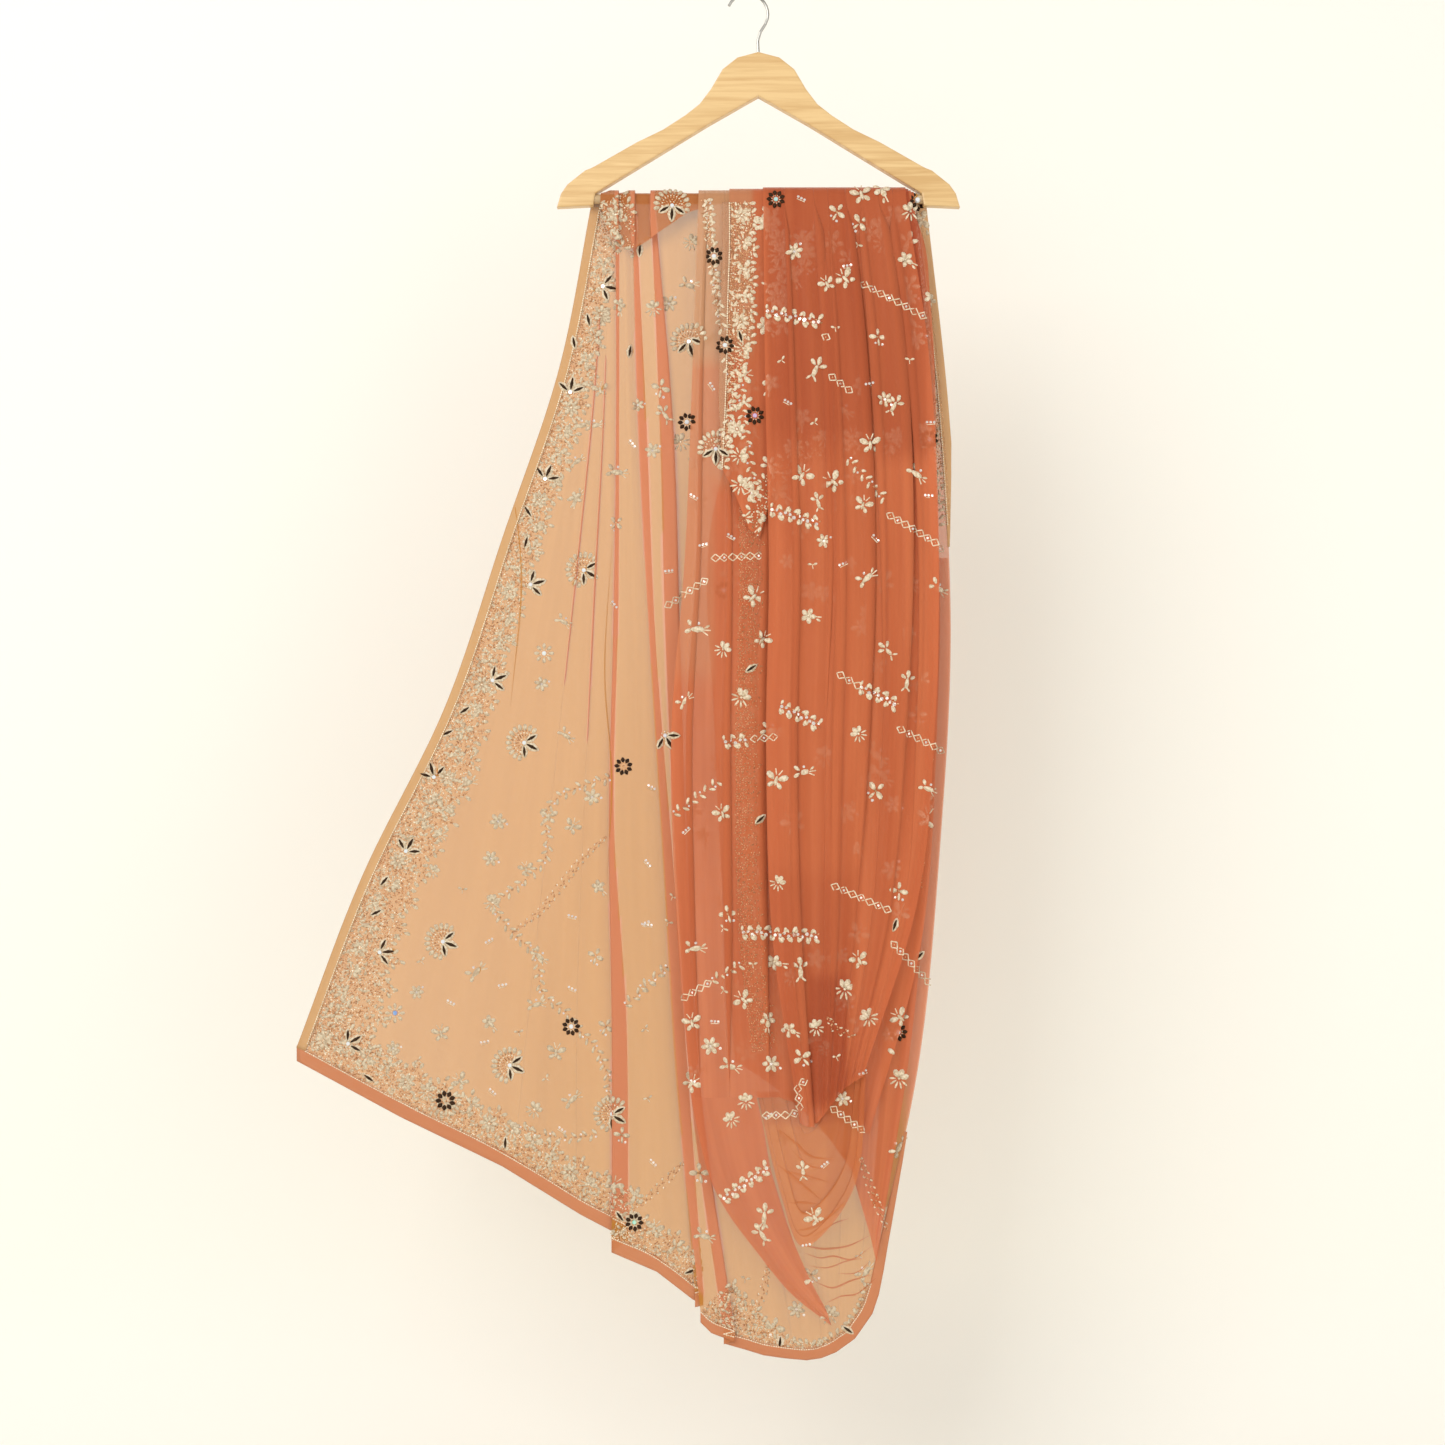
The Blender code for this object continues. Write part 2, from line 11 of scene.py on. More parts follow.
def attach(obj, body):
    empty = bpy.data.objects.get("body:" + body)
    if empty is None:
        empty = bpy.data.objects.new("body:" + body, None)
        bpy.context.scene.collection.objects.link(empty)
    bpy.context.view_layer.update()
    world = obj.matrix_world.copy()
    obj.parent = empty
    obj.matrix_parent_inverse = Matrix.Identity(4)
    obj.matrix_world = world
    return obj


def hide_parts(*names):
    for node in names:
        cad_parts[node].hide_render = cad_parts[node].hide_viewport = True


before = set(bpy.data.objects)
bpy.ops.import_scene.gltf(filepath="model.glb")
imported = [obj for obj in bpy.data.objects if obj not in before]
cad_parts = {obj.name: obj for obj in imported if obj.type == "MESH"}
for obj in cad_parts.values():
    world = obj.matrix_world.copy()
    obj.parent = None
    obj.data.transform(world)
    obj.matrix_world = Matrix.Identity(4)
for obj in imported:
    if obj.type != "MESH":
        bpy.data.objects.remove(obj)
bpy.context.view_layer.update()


# The camera stands square in front of the hanging cloth, level with its middle, and the lights are
# a large soft one high at the left, a weaker one at the right, and an even pale room round them.
CAMERA_PLACE = (-0.0276, -2.35, -0.8026)
VIEW_WIDTH = 1.595


def stand_in_scene(name, data):
    thing = bpy.data.objects.new(name, data)
    bpy.context.scene.collection.objects.link(thing)
    return thing


camera = stand_in_scene("camera", bpy.data.cameras.new("camera"))
camera.data.lens = camera.data.sensor_width * -CAMERA_PLACE[1] / VIEW_WIDTH
camera.location = CAMERA_PLACE
camera.rotation_euler = (math.pi / 2, 0.0, 0.0)
bpy.context.scene.camera = camera
bpy.context.scene.view_settings.view_transform = "Standard"
bpy.context.scene.cycles.transparent_max_bounces = 48

LIT = Vector((0.0, 0.0, -0.75))
SOFT_LIGHTS = (
    ("key", (-1.5, -2.3, 0.7), 1.8, 42.0),
    ("fill", (1.8, -2.0, -0.6), 2.2, 15.0),
)
for light_name, place, size, watts in SOFT_LIGHTS:
    lamp = bpy.data.lights.new(light_name, "AREA")
    lamp.size = size
    lamp.energy = watts
    lamp_object = stand_in_scene(light_name, lamp)
    lamp_object.location = place
    lamp_object.rotation_euler = (LIT - Vector(place)).to_track_quat("-Z", "Y").to_euler()

room = bpy.data.worlds.new("room")
room.use_nodes = True
sky = room.node_tree.nodes["Background"]
sky.inputs["Color"].default_value = (1.0, 0.985, 0.955, 1.0)
sky.inputs["Strength"].default_value = 0.68
bpy.context.scene.world = room


# The studio's pale floor sweeps up into a wall close behind the cloth. It is a sheet swept from a
# profile, and its back is clear, so that a view from behind sees past it.
FLOOR_Z = -1.75
FLOOR_FRONT = -4.5
WALL_Y = 0.45
WALL_TOP = 1.6
SWEEP_RADIUS = 0.25
SWEEP_STEPS = 8
STUDIO_HALF_WIDTH = 3.5


def set_inputs(material, node, inputs):
    """Links each of a node's named inputs to a socket, or gives it a plain value."""
    for name, value in inputs.items():
        if isinstance(value, bpy.types.NodeSocket):
            material.node_tree.links.new(value, node.inputs[name])
        else:
            node.inputs[name].default_value = value


def add_node(material, kind, inputs=None, **settings):
    """A new shader node. Its settings go first, as they decide which inputs it has."""
    node = material.node_tree.nodes.new(f"ShaderNode{kind}")
    for name, value in settings.items():
        setattr(node, name, value)
    set_inputs(material, node, inputs or {})
    return node


def new_material(name):
    material = bpy.data.materials.new(name)
    material.use_nodes = True
    return material


def surface(material, inputs):
    """Sets or links inputs of the material's own surface shader."""
    set_inputs(material, material.node_tree.nodes["Principled BSDF"], inputs)


sweep = bmesh.new()
profile = [(FLOOR_FRONT, FLOOR_Z)]
for step in range(SWEEP_STEPS + 1):
    turn = math.radians(90 * step / SWEEP_STEPS)
    profile.append((WALL_Y - SWEEP_RADIUS + SWEEP_RADIUS * math.sin(turn),
                    FLOOR_Z + SWEEP_RADIUS - SWEEP_RADIUS * math.cos(turn)))
profile.append((WALL_Y, WALL_TOP))
run = [sweep.verts.new((-STUDIO_HALF_WIDTH, y, z)) for y, z in profile]
for low, high in zip(run, run[1:]):
    sweep.edges.new((low, high))
swept = bmesh.ops.extrude_edge_only(sweep, edges=sweep.edges[:])
moved = [item for item in swept["geom"] if isinstance(item, bmesh.types.BMVert)]
bmesh.ops.translate(sweep, verts=moved, vec=(2 * STUDIO_HALF_WIDTH, 0.0, 0.0))
bmesh.ops.recalc_face_normals(sweep, faces=sweep.faces)
sweep.normal_update()
sweep.faces.ensure_lookup_table()
if sweep.faces[0].normal.z < 0:
    bmesh.ops.reverse_faces(sweep, faces=sweep.faces)
studio_mesh = bpy.data.meshes.new("studio_sweep")
sweep.to_mesh(studio_mesh)
sweep.free()
studio_mesh.shade_smooth()

pale = new_material("pale studio paper")
surface(pale, {"Base Color": (0.95, 0.93, 0.86, 1.0), "Roughness": 0.95, "Specular IOR Level": 0.1})
one_sided = add_node(pale, "MixShader", {
    0: add_node(pale, "NewGeometry").outputs["Backfacing"],
    1: pale.node_tree.nodes["Principled BSDF"].outputs["BSDF"],
    2: add_node(pale, "BsdfTransparent").outputs["BSDF"],
})
set_inputs(pale, pale.node_tree.nodes["Material Output"], {"Surface": one_sided.outputs["Shader"]})
studio_mesh.materials.append(pale)
studio = stand_in_scene("studio_sweep", studio_mesh)


# The hanger's two arms are sawn from one plank of pale hardwood, rounded over and lacquered. The
# grain runs along the arms, with fine darker pores and a slow change of tone.
def two_tones(material, factor, dark, light, dark_until, light_from):
    """A change from a dark tone to a light one as the factor rises."""
    ramp = add_node(material, "ValToRGB", {"Fac": factor})
    stops = zip(ramp.color_ramp.elements, (dark_until, light_from), (dark, light))
    for stop, position, tone in stops:
        stop.position = position
        stop.color = (*tone, 1.0)
    return ramp.outputs["Color"]


def raised(material, height, strength, distance):
    bump = add_node(
        material, "Bump", {"Strength": strength, "Distance": distance, "Height": height}
    )
    return bump.outputs["Normal"]


def wood_material(name, light, dark, roughness, grain):
    """Wood with its grain along X: grain is how often it changes along X, Y and Z, per metre."""
    material = new_material(name)
    place = add_node(material, "TexCoord").outputs["Object"]
    stretched = add_node(material, "Mapping", {"Scale": grain, "Vector": place}).outputs["Vector"]
    figure = add_node(material, "TexNoise", {
        "Scale": 1.0, "Detail": 5.0, "Roughness": 0.6, "Distortion": 0.4, "Vector": stretched,
    }).outputs["Fac"]
    surface(material, {
        "Roughness": roughness, "Coat Weight": 0.25, "Coat Roughness": 0.25,
        "Base Color": two_tones(material, figure, dark, light, 0.36, 0.62),
        "Normal": raised(material, figure, 0.12, 0.0004),
    })
    return material


def dress_node(name, material):
    """The CAD node keeps its shape and wears the material."""
    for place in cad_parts[name].material_slots:
        place.material = material


hanger_wood = wood_material(
    "lacquered hanger wood", (0.76, 0.52, 0.24), (0.62, 0.38, 0.15), 0.38, (7.0, 60.0, 160.0)
)
dress_node("hanger_arms", hanger_wood)


# The trouser bar is a turned dowel of darker bare wood, glued into a hole in each arm. Its grain
# runs along it, and it shows where the cloth leaves it bare.
bar_wood = wood_material(
    "turned bar wood", (0.58, 0.41, 0.22), (0.42, 0.27, 0.13), 0.55, (12.0, 240.0, 240.0)
)
dress_node("hanger_bar", bar_wood)


# The hook is nickel plated steel wire, bent round and screwed into the wood. The plating is bright,
# with faint drawing marks along the wire.
nickel = new_material("nickel plated wire")
wire_marks = add_node(nickel, "TexNoise", {
    "Scale": 900.0, "Detail": 3.0, "Vector": add_node(nickel, "TexCoord").outputs["Object"],
})
wire_polish = add_node(nickel, "MapRange", {
    "To Min": 0.18, "To Max": 0.38, "Value": wire_marks.outputs["Fac"],
})
surface(nickel, {
    "Metallic": 1.0, "Base Color": (0.36, 0.35, 0.32, 1.0),
    "Roughness": wire_polish.outputs["Result"],
})
dress_node("hanger_hook", nickel)


# The stole is one length of sheer silk net, laid over the bar. Where one layer hangs against the
# light it is a warm tan, and gathered layers deepen to rust. Each stretch is one thin sheet that
# follows the same lines as its solid, with fine pressed creases and soft ripples added.
LOOSE_TONE = (0.58, 0.30, 0.148)
FOLDED_TONE = (0.70, 0.240, 0.108)
DEEP_TONE = (0.40, 0.062, 0.016)


def net_material(name, thread, shade, clearness, folded=False):
    """Sheer net: thread and shade are the two tones that drift along the fall. A sheet's own loose
    and deep marks say where it lies open and pale, and where it is drawn up dark. The tan net also
    turns coral where it is folded on itself."""
    material = new_material(name)
    on_cloth = add_node(material, "UVMap", uv_map="cloth").outputs["UV"]
    streaks = add_node(material, "Mapping", {"Scale": (52.0, 1.8, 1.0), "Vector": on_cloth})
    drift = add_node(material, "TexNoise", {
        "Scale": 1.0, "Detail": 4.0, "Roughness": 0.55, "Vector": streaks.outputs["Vector"],
    })
    tone = two_tones(material, drift.outputs["Fac"], shade, thread, 0.34, 0.66)
    marks = [("loose", LOOSE_TONE), ("deep", DEEP_TONE)] + [("folded", FOLDED_TONE)] * folded
    for mark, colour in marks:
        marked = add_node(material, "Attribute", attribute_name=mark).outputs["Fac"]
        tone = add_node(
            material, "Mix", {"Factor": marked, "A": tone, "B": (*colour, 1.0)}, data_type="RGBA"
        ).outputs["Result"]
    weaves = {
        way: add_node(
            material, "TexWave", {"Scale": 320.0, "Distortion": 0.6, "Vector": on_cloth},
            bands_direction=direction,
        ).outputs["Fac"]
        for way, direction in enumerate(("X", "Y"))
    }
    woven = add_node(material, "Math", weaves, operation="ADD").outputs["Value"]
    surface(material, {
        "Roughness": 0.62, "Specular IOR Level": 0.25, "Sheen Weight": 0.12, "Sheen Roughness": 0.5,
        "Alpha": 1.0 - clearness, "Base Color": tone,
        "Normal": raised(material, woven, 0.25, 0.0002),
    })
    return material


tan_net = net_material("tan silk net", (0.615, 0.262, 0.040), (0.565, 0.232, 0.030), 0.28, True)
rust_net = net_material("rust silk net", (0.69, 0.178, 0.062), (0.55, 0.118, 0.036), 0.29)

BAR_Z = -0.225
SETTLE_FRONT = 0.150
SETTLE_BACK = 0.045
DOWN_STEPS = 130
ARC_STEPS = 10
TUCK_LAYER = 0.7
TURN = 2.4
LAYER = 1.6
TUCK_START = 45.0
WIDE_RIPPLE = (17.0, 260.0)
FINE_RIPPLE = (7.0, 120.0)
BACK_STAND = (6.4, 6.4)

SPREAD_ROWS = (
    (-162, -199, -262, -326, -418, -490, 941, 0.0, 8, 0.0),
    (-159, -187, -236, -284, -336, -384, 998, 1.2, 18, 0.8),
    (-156, -172, -195, -220, -246, -271, 1053, 0.2, 30, LAYER),
    (-152, -158, -169, -178, -185, -185, 1106, 0.6, 40, 2 * LAYER),
    (-142, -142, -143, -148, -134, -132, 1134, 0.0, 47, 2 * LAYER),
    (-142, -142, -143, -148, -134, -132, 1134, TURN, 47, LAYER),
    (-146, -145, -148, -153, -150, -150, 1147, TURN, 45, LAYER),
    (-146, -145, -148, -153, -150, -150, 1147, 2 * TURN, 45, 0.0),
    (-138, -132, -124, -118, -106, -100, 1169, 2.6, 54, 0.6),
    (-131, -123, -111, -97, -81, -61, 1200, 0.0, 57, 2 * LAYER),
    (-124, -112, -102, -83, -66, -49, 1206, 0.0, 55, 2 * LAYER),
    (-124, -112, -102, -83, -66, -49, 1206, TURN, 55, LAYER),
    (-128, -121, -108, -93, -78, -58, 1208, 3.0, 56, LAYER),
)
UNDER_ROWS = (
    (-127, -121, -108, -93, -78, -52, 1228, 2.2 * TURN, 56, 0.0),
    (-118, -108, -100, -84, -66, -40, 1240, 2.0 * TURN, 52, 0.0),
    (-103, -82, -74, -66, -50, -14, 1250, 2.0 * TURN, 43, 0.0),
    (-103, -82, -74, -66, -50, -14, 1250, TURN, 43, LAYER),
    (-107, -97, -90, -78, -61, -26, 1253, TURN, 45, LAYER),
    (-107, -97, -90, -78, -61, -26, 1253, 0.0, 45, 2 * LAYER),
    (-88, -66, -56, -48, -37, 2, 1261, 0.0, 32, 2 * LAYER),
    (-66, -52, -44, -36, -25, 18, 1266, 0.4, 16, 0.0),
    (-38, -28, -20, -12, 0, 40, 1269, 1.6, 8, 0.0),
    (-14, -3, 5, 14, 27, 62, 1272, 0.2, 4, 0.0),
    (20, 30, 38, 46, 54, 76, 1270, 1.6, 4, 0.0),
    (60, 68, 79, 87, 86, 91, 1265, 0.0, 4, 0.0),
    (113, 126, 137, 135, 124, 110, 1251, 1.8, 4, 0.0),
    (158, 172, 184, 177, 154, 128, 1226, 0.2, 4, 0.0),
    (187, 213, 225, 213, 189, 137, 1198, 0.8, 4, 0.0),
)


def smooth_step(share):
    share = np.clip(share, 0.0, 1.0)
    return share * share * (3.0 - 2.0 * share)


def curve_through(values, share):
    """The values of a smooth curve through evenly spaced values, at shares of its length."""
    values = np.asarray(values, float)
    place = np.clip(share, 0.0, 1.0) * (len(values) - 1)
    start = np.minimum(place.astype(int), len(values) - 2)
    part = place - start
    ends = 2 * values[0] - values[1], 2 * values[-1] - values[-2]
    longer = np.concatenate(([ends[0]], values, [ends[1]]))
    before, here, there, after = (longer[start + step] for step in range(4))
    rise = there - here
    slope_in = 0.5 * (there - before)
    slope_out = 0.5 * (after - here)
    bend = slope_in + slope_out - 2.0 * rise
    sag = 3.0 * rise - 2.0 * slope_in - slope_out
    return here + part * (slope_in + part * (sag + part * bend))


def curves_through(rows, share):
    """A smooth curve down each column of a table, at shares of its length."""
    return [curve_through(column, share) for column in zip(*rows)]


def row_between(rows, place):
    """One line of the table, worked out between two of its rows."""
    low = min(int(place), len(rows) - 2)
    part = place - low
    left, right = ((*row, 0.0)[:10] for row in rows[low:low + 2])
    row = [a + (b - a) * part for a, b in zip(left, right)]
    row[7] = left[7] + (right[7] - left[7]) * smooth_step(part)
    return row


def ripple(across, down, seed, strength):
    """Soft upright ripples in millimetres, narrow across and long down the fall."""
    ripples = ((strength, *WIDE_RIPPLE, seed), (0.5 * strength, *FINE_RIPPLE, seed + 9.0))
    return [
        sum(high * noise.noise(Vector((x / wide, z / tall, kind)))
            for high, wide, tall, kind in ripples)
        for x, z in zip(across, down)
    ]


def cloth_line(row, stand, seed, strength, tuck_across=0.0, tuck_out=0.0, steps=DOWN_STEPS):
    """Points of one line of cloth from its hem up the near side and over the bar, in metres. Tucks
    start from nothing just below the bar."""
    at_bar, hanging = stand
    shares = np.linspace(0.0, 1.0, steps + 1)
    fall = shares * row[6]
    settled = smooth_step(fall / (1000 * (SETTLE_BACK if at_bar > 0 else SETTLE_FRONT)))
    near_bar = at_bar + math.copysign(row[9], at_bar)
    across = curve_through(row[:6], shares)
    depth = near_bar + (hanging - row[7] - near_bar) * settled
    started = smooth_step(fall / TUCK_START)
    depth += settled * np.array(ripple(across, fall, seed, strength)) - started * tuck_out
    across = across + started * tuck_across
    near = np.stack((across, depth, 1000 * BAR_Z - fall), axis=1)[::-1]
    radius = abs(at_bar) + row[9]
    half_turn = math.pi * radius
    ways = [half_turn * step / ARC_STEPS for step in range(1, ARC_STEPS + 1)]
    ways += [half_turn + row[8] / 2, half_turn + row[8]]
    over = []
    for way in ways:
        angle = min(way, half_turn) / radius
        over.append((
            across[0],
            math.copysign(radius, at_bar) * math.cos(angle),
            1000 * BAR_Z + radius * math.sin(angle) - max(0.0, way - half_turn),
        ))
    return np.concatenate((near, np.array(over))) / 1000


def sheet_lines(rows, stand, seed, strength, finest=3.2, tucks=(), steps=DOWN_STEPS):
    """Lines of cloth side by side. A tuck is a place in the table and its widths down the fall."""
    places = []
    for low in range(len(rows) - 1):
        span = max(abs(b - a) for a, b in zip(rows[low][:6], rows[low + 1][:6]))
        parts = max(1, math.ceil(min(span, 90) / finest))
        places += [low + part / parts for part in range(parts)]
    places.append(len(rows) - 1)
    shares = np.linspace(0.0, 1.0, steps + 1)
    lines = []
    waiting = sorted(tucks)
    for place in places:
        while waiting and waiting[0][0] <= place:
            tuck_place, widths = waiting.pop(0)
            width = curve_through(widths, shares)
            width = np.where(width * sum(widths) > abs(sum(widths)) * 0.8, width, 0.0)
            full = np.clip(np.abs(width) / (0.4 * max(abs(w) for w in widths)), 0.0, 1.0)
            folds = ((0, 2), (1, 2), (1, 1), (0, 1), (0, 0))
            if max(widths) <= 0:
                folds = folds[::-1]
            row = row_between(rows, tuck_place)
            for sideways, layers in folds:
                out = layers * TUCK_LAYER * full
                lines.append(
                    cloth_line(row, stand, seed, strength, sideways * width, out, steps)
                )
        lines.append(cloth_line(row_between(rows, place), stand, seed, strength, steps=steps))
    return lines


def cloth_mesh(name, grids, material):
    """A thin sheet through grids of points, with the cloth's lengths in metres as its UV map."""
    mesh = bpy.data.meshes.new(name)
    cloth = bmesh.new()
    points, lengths = [], []
    for lines in grids:
        grid = np.array(lines)
        columns, count = grid.shape[:2]
        bmesh.ops.create_grid(cloth, x_segments=columns - 1, y_segments=count - 1, size=1.0)
        points.append(grid.transpose(1, 0, 2).reshape(-1, 3))
        across = np.linalg.norm(np.diff(grid, axis=0), axis=2).mean(axis=1)
        along = np.linalg.norm(np.diff(grid, axis=1), axis=2).mean(axis=0)
        u = np.concatenate(([0.0], np.cumsum(across)))
        v = np.concatenate(([0.0], np.cumsum(along)))
        lengths.append(np.stack(np.meshgrid(u, v), axis=2).reshape(-1, 2))
    cloth.to_mesh(mesh)
    cloth.free()
    mesh.vertices.foreach_set("co", np.concatenate(points).ravel())
    corner = np.empty(len(mesh.loops), int)
    mesh.loops.foreach_get("vertex_index", corner)
    for layer in list(mesh.uv_layers):
        mesh.uv_layers.remove(layer)
    cloth_map = mesh.uv_layers.new(name="cloth")
    cloth_map.data.foreach_set("uv", np.concatenate(lengths)[corner].ravel())
    mesh.update()
    mesh.shade_smooth()
    mesh.materials.append(material)
    return stand_in_scene(name, mesh)


def mark_cloth(piece, mark, places, only_near=False):
    """Marks how loose or deep a sheet's tone is: places are (across, down, wide, tall, strength) in
    mm, each fading out near its half width and half height."""
    mesh = piece.data
    points = np.empty(3 * len(mesh.vertices))
    mesh.vertices.foreach_get("co", points)
    points = points.reshape(-1, 3) * 1000
    across, down = points[:, 0], 1000 * BAR_Z - points[:, 2]
    made = mesh.attributes.get(mark) or mesh.attributes.new(mark, "FLOAT", "POINT")
    total = np.zeros(len(points))
    made.data.foreach_get("value", total)
    for middle, level, wide, tall, strength in places:
        near = np.maximum(np.abs(across - middle) / wide, np.abs(down - level) / tall)
        total = np.maximum(total, strength * (1.0 - smooth_step((near - 0.8) / 0.35)))
    if only_near:
        total *= points[:, 1] < 0.0
    made.data.foreach_set("value", total.astype(np.float32))


SHEETS = {}


def hang_sheet(name, node, grids, material, length):
    """Puts a sheet in its solid's place and says what it was cut to."""
    piece = cloth_mesh(name, grids, material)
    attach(piece, "root")
    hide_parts(node)
    area = sum(face.area for face in piece.data.polygons)
    SHEETS[name] = {"piece": piece, "flat": (area / length, length), "with": []}
    return piece


net_spread = hang_sheet(
    "net_spread", "fall_spread",
    [sheet_lines(
        SPREAD_ROWS, BACK_STAND, 1.0, 0.7, 3.6,
        ((2.15, (0, 1.2, 1.3, 0.3, 0, 0)), (2.95, (0, 1.0, 1.6, 0.5, 0, 0))),
    )],
    tan_net, 1.10,
)
net_under = hang_sheet(
    "net_under", "fall_under",
    [sheet_lines(
        UNDER_ROWS, BACK_STAND, 2.0, 0.8, 3.6,
        ((8.5, (0, 4, 5, 5, 0, 0)), (10.4, (0, 6, 8, 7, 0, 0)), (11.5, (0, 5, 9, 7, 0, 0)),
         (12.6, (0, -4, -7, -6, 0, 0)), (13.4, (0, 3, 6, 6, 3, 0))),
    )],
    tan_net, 1.27,
)


# The inner and middle falls are the front half of the stole, gathered in soft upright folds behind
# the outermost one. The middle fall narrows at its foot to a twisted band across the cowl.
INNER_ROWS = (
    (10, 0, -43, -37, -28, -14, 951, 0.0, 3),
    (17, 9, -16, -9, 0, 14, 968, 1.6, 3),
    (24, 20, 10, 19, 30, 41, 988, 0.2, 3),
    (38, 40, 42, 48, 54, 60, 1005, 1.7, 3),
    (58, 65, 71, 75, 78, 78, 1022, 0.0, 3),
    (88, 96, 102, 105, 104, 96, 1044, 1.5, 3),
    (113, 124, 131, 133, 126, 114, 1070, 0.1, 3),
    (142, 162, 171, 167, 151, 136, 1146, 1.6, 3),
    (165, 184, 193, 186, 166, 139, 1160, 0.2, 3),
    (183, 203, 212, 201, 179, 142, 1172, 1.2, 3),
)
MID_ROWS = (
    (-54, -61, -69, -84, -78, -62, 990, 3.2, 3),
    (-46, -52, -55, -66, -62, -50, 990, 0.4, 3),
    (-39, -39, -41, -48, -46, -38, 990, 2.8, 3),
    (-19, -17, -14, -18, -18, -12, 990, 0.2, 3),
    (3, 5, 5, -1, -4, 10, 990, 3.0, 3),
    (20, 25, 23, 20, 26, 34, 990, 0.0, 3),
    (40, 46, 46, 43, 44, 48, 994, 2.8, 3),
    (58, 63, 67, 65, 62, 60, 998, 0.4, 3),
    (86, 92, 96, 96, 90, 80, 1004, 2.6, 3),
    (113, 120, 124, 126, 119, 98, 1012, 0.2, 3),
    (140, 150, 156, 156, 144, 112, 1020, 2.8, 3),
    (160, 175, 182, 182, 166, 124, 1026, 0.4, 3),
    (180, 202, 209, 207, 190, 134, 1030, 1.6, 3),
)
BAND_ROWS = (
    (-62, 990, 10, 990),
    (-52, 1039, 18, 1026),
    (-41, 1079, 25, 1066),
    (-22, 1116, 38, 1110),
    (6, 1154, 51, 1149),
    (46, 1203, 68, 1188),
    (92, 1240, 86, 1222),
)
BAND_SHARES = ((0.0, 3.2), (0.17, 0.4), (0.34, 2.8), (0.70, 0.2), (1.0, 3.0))
BAND_STAND = (-8.0, -10.5)


def band_lines():
    """The twisted band as lines of points from its foot up to the middle fall."""
    lines = []
    down_shares = np.linspace(0.0, 1.0, 61)
    left, left_down, right, right_down = curves_through(BAND_ROWS, down_shares)
    shares, lifts = zip(*BAND_SHARES)
    for share in np.linspace(0.0, 1.0, 29):
        low = min(int(np.searchsorted(shares, share, "right")) - 1, len(shares) - 2)
        part = (share - shares[low]) / (shares[low + 1] - shares[low])
        lift = lifts[low] + (lifts[low + 1] - lifts[low]) * smooth_step(part)
        across = left + (right - left) * share
        down = left_down + (right_down - left_down) * share
        depth = BAND_STAND[0] + (BAND_STAND[1] - BAND_STAND[0]) * down_shares
        depth = depth - lift * (1 - 0.4 * down_shares)
        points = np.stack((across, depth, 1000 * BAR_Z - down), axis=1) / 1000
        lines.append(points[::-1])
    return lines


hang_sheet(
    "net_inner", "fall_inner",
    [sheet_lines(
        INNER_ROWS, (-8.0, -2.6), 3.0, 0.8, 3.6,
        ((1.5, (4, 5, 6, 6, 4, 0)), (3.4, (5, 6, 6, 7, 5, 2)), (5.5, (4, 6, 8, 8, 6, 3))),
    )],
    rust_net, 1.06,
)
net_mid = hang_sheet(
    "net_mid", "fall_mid",
    [
        sheet_lines(
            MID_ROWS, (-9.6, -8.0), 4.0, 0.8, 3.6,
            ((0.9, (3, 4, 5, 7, 6, 0)), (2.7, (0, 3, 5, 8, 9, 0)), (4.6, (5, 7, 8, 9, 8, 0)),
             (6.5, (-4, -6, -8, -7, -5, 0)), (8.5, (5, 8, 9, 8, 6, 3)),
             (10.5, (-6, -8, -8, -7, -6, -3))),
        ),
        band_lines(),
    ],
    rust_net, 1.0,
)
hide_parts("fall_mid", "swag_band")


# A short end of the stole is turned over the bar in front, with its heavy border down its left side
# and along its pointed hem. The outermost fall hangs over it, pleated and drawn in to a point.
FLAP_ROWS = (
    (-20, -20, -22, -23, -25, -28, 299, 0.4, 3),
    (-10, -11, -12, -13, -14, -16, 322, 0.0, 3),
    (1, 1, 1, 1, 1, 2, 366, 0.8, 3),
    (11, 11, 11, 11, 12, 13, 374, 0.0, 3),
    (18, 19, 20, 22, 24, 26, 330, 0.9, 3),
    (58, 60, 61, 62, 63, 65, 288, 0.0, 3),
    (92, 96, 97, 99, 100, 101, 285, 1.0, 3),
    (124, 129, 131, 133, 134, 135, 286, 0.0, 3),
    (152, 163, 167, 170, 172, 173, 280, 0.9, 3),
    (177, 195, 200, 204, 206, 207, 277, 0.2, 3),
)
FLAP_STAND = (-11.2, -15.6)
FRONT_LEFT = (17, 19, 23, 20, 27, 57)
FRONT_RIGHT = (174, 200, 209, 205, 186, 126)
FRONT_PLEATS = (
    (0.00, 1015, 2.6), (0.05, 1018, 0.4), (0.13, 1020, 2.4), (0.21, 1018, 0.0), (0.29, 1014, 3.0),
    (0.36, 1009, 0.2), (0.41, 1004, 3.2), (0.48, 998, 0.4), (0.55, 992, 2.8), (0.61, 986, 0.0),
    (0.67, 981, 3.2), (0.73, 977, 0.4), (0.79, 974, 2.8), (0.85, 971, 0.0), (0.90, 969, 2.6),
    (0.95, 967, 0.4), (1.00, 965, 1.8),
)
FRONT_ROWS = tuple(
    (*(a + (b - a) * share for a, b in zip(FRONT_LEFT, FRONT_RIGHT)), hem, lift, 3)
    for share, hem, lift in FRONT_PLEATS
)

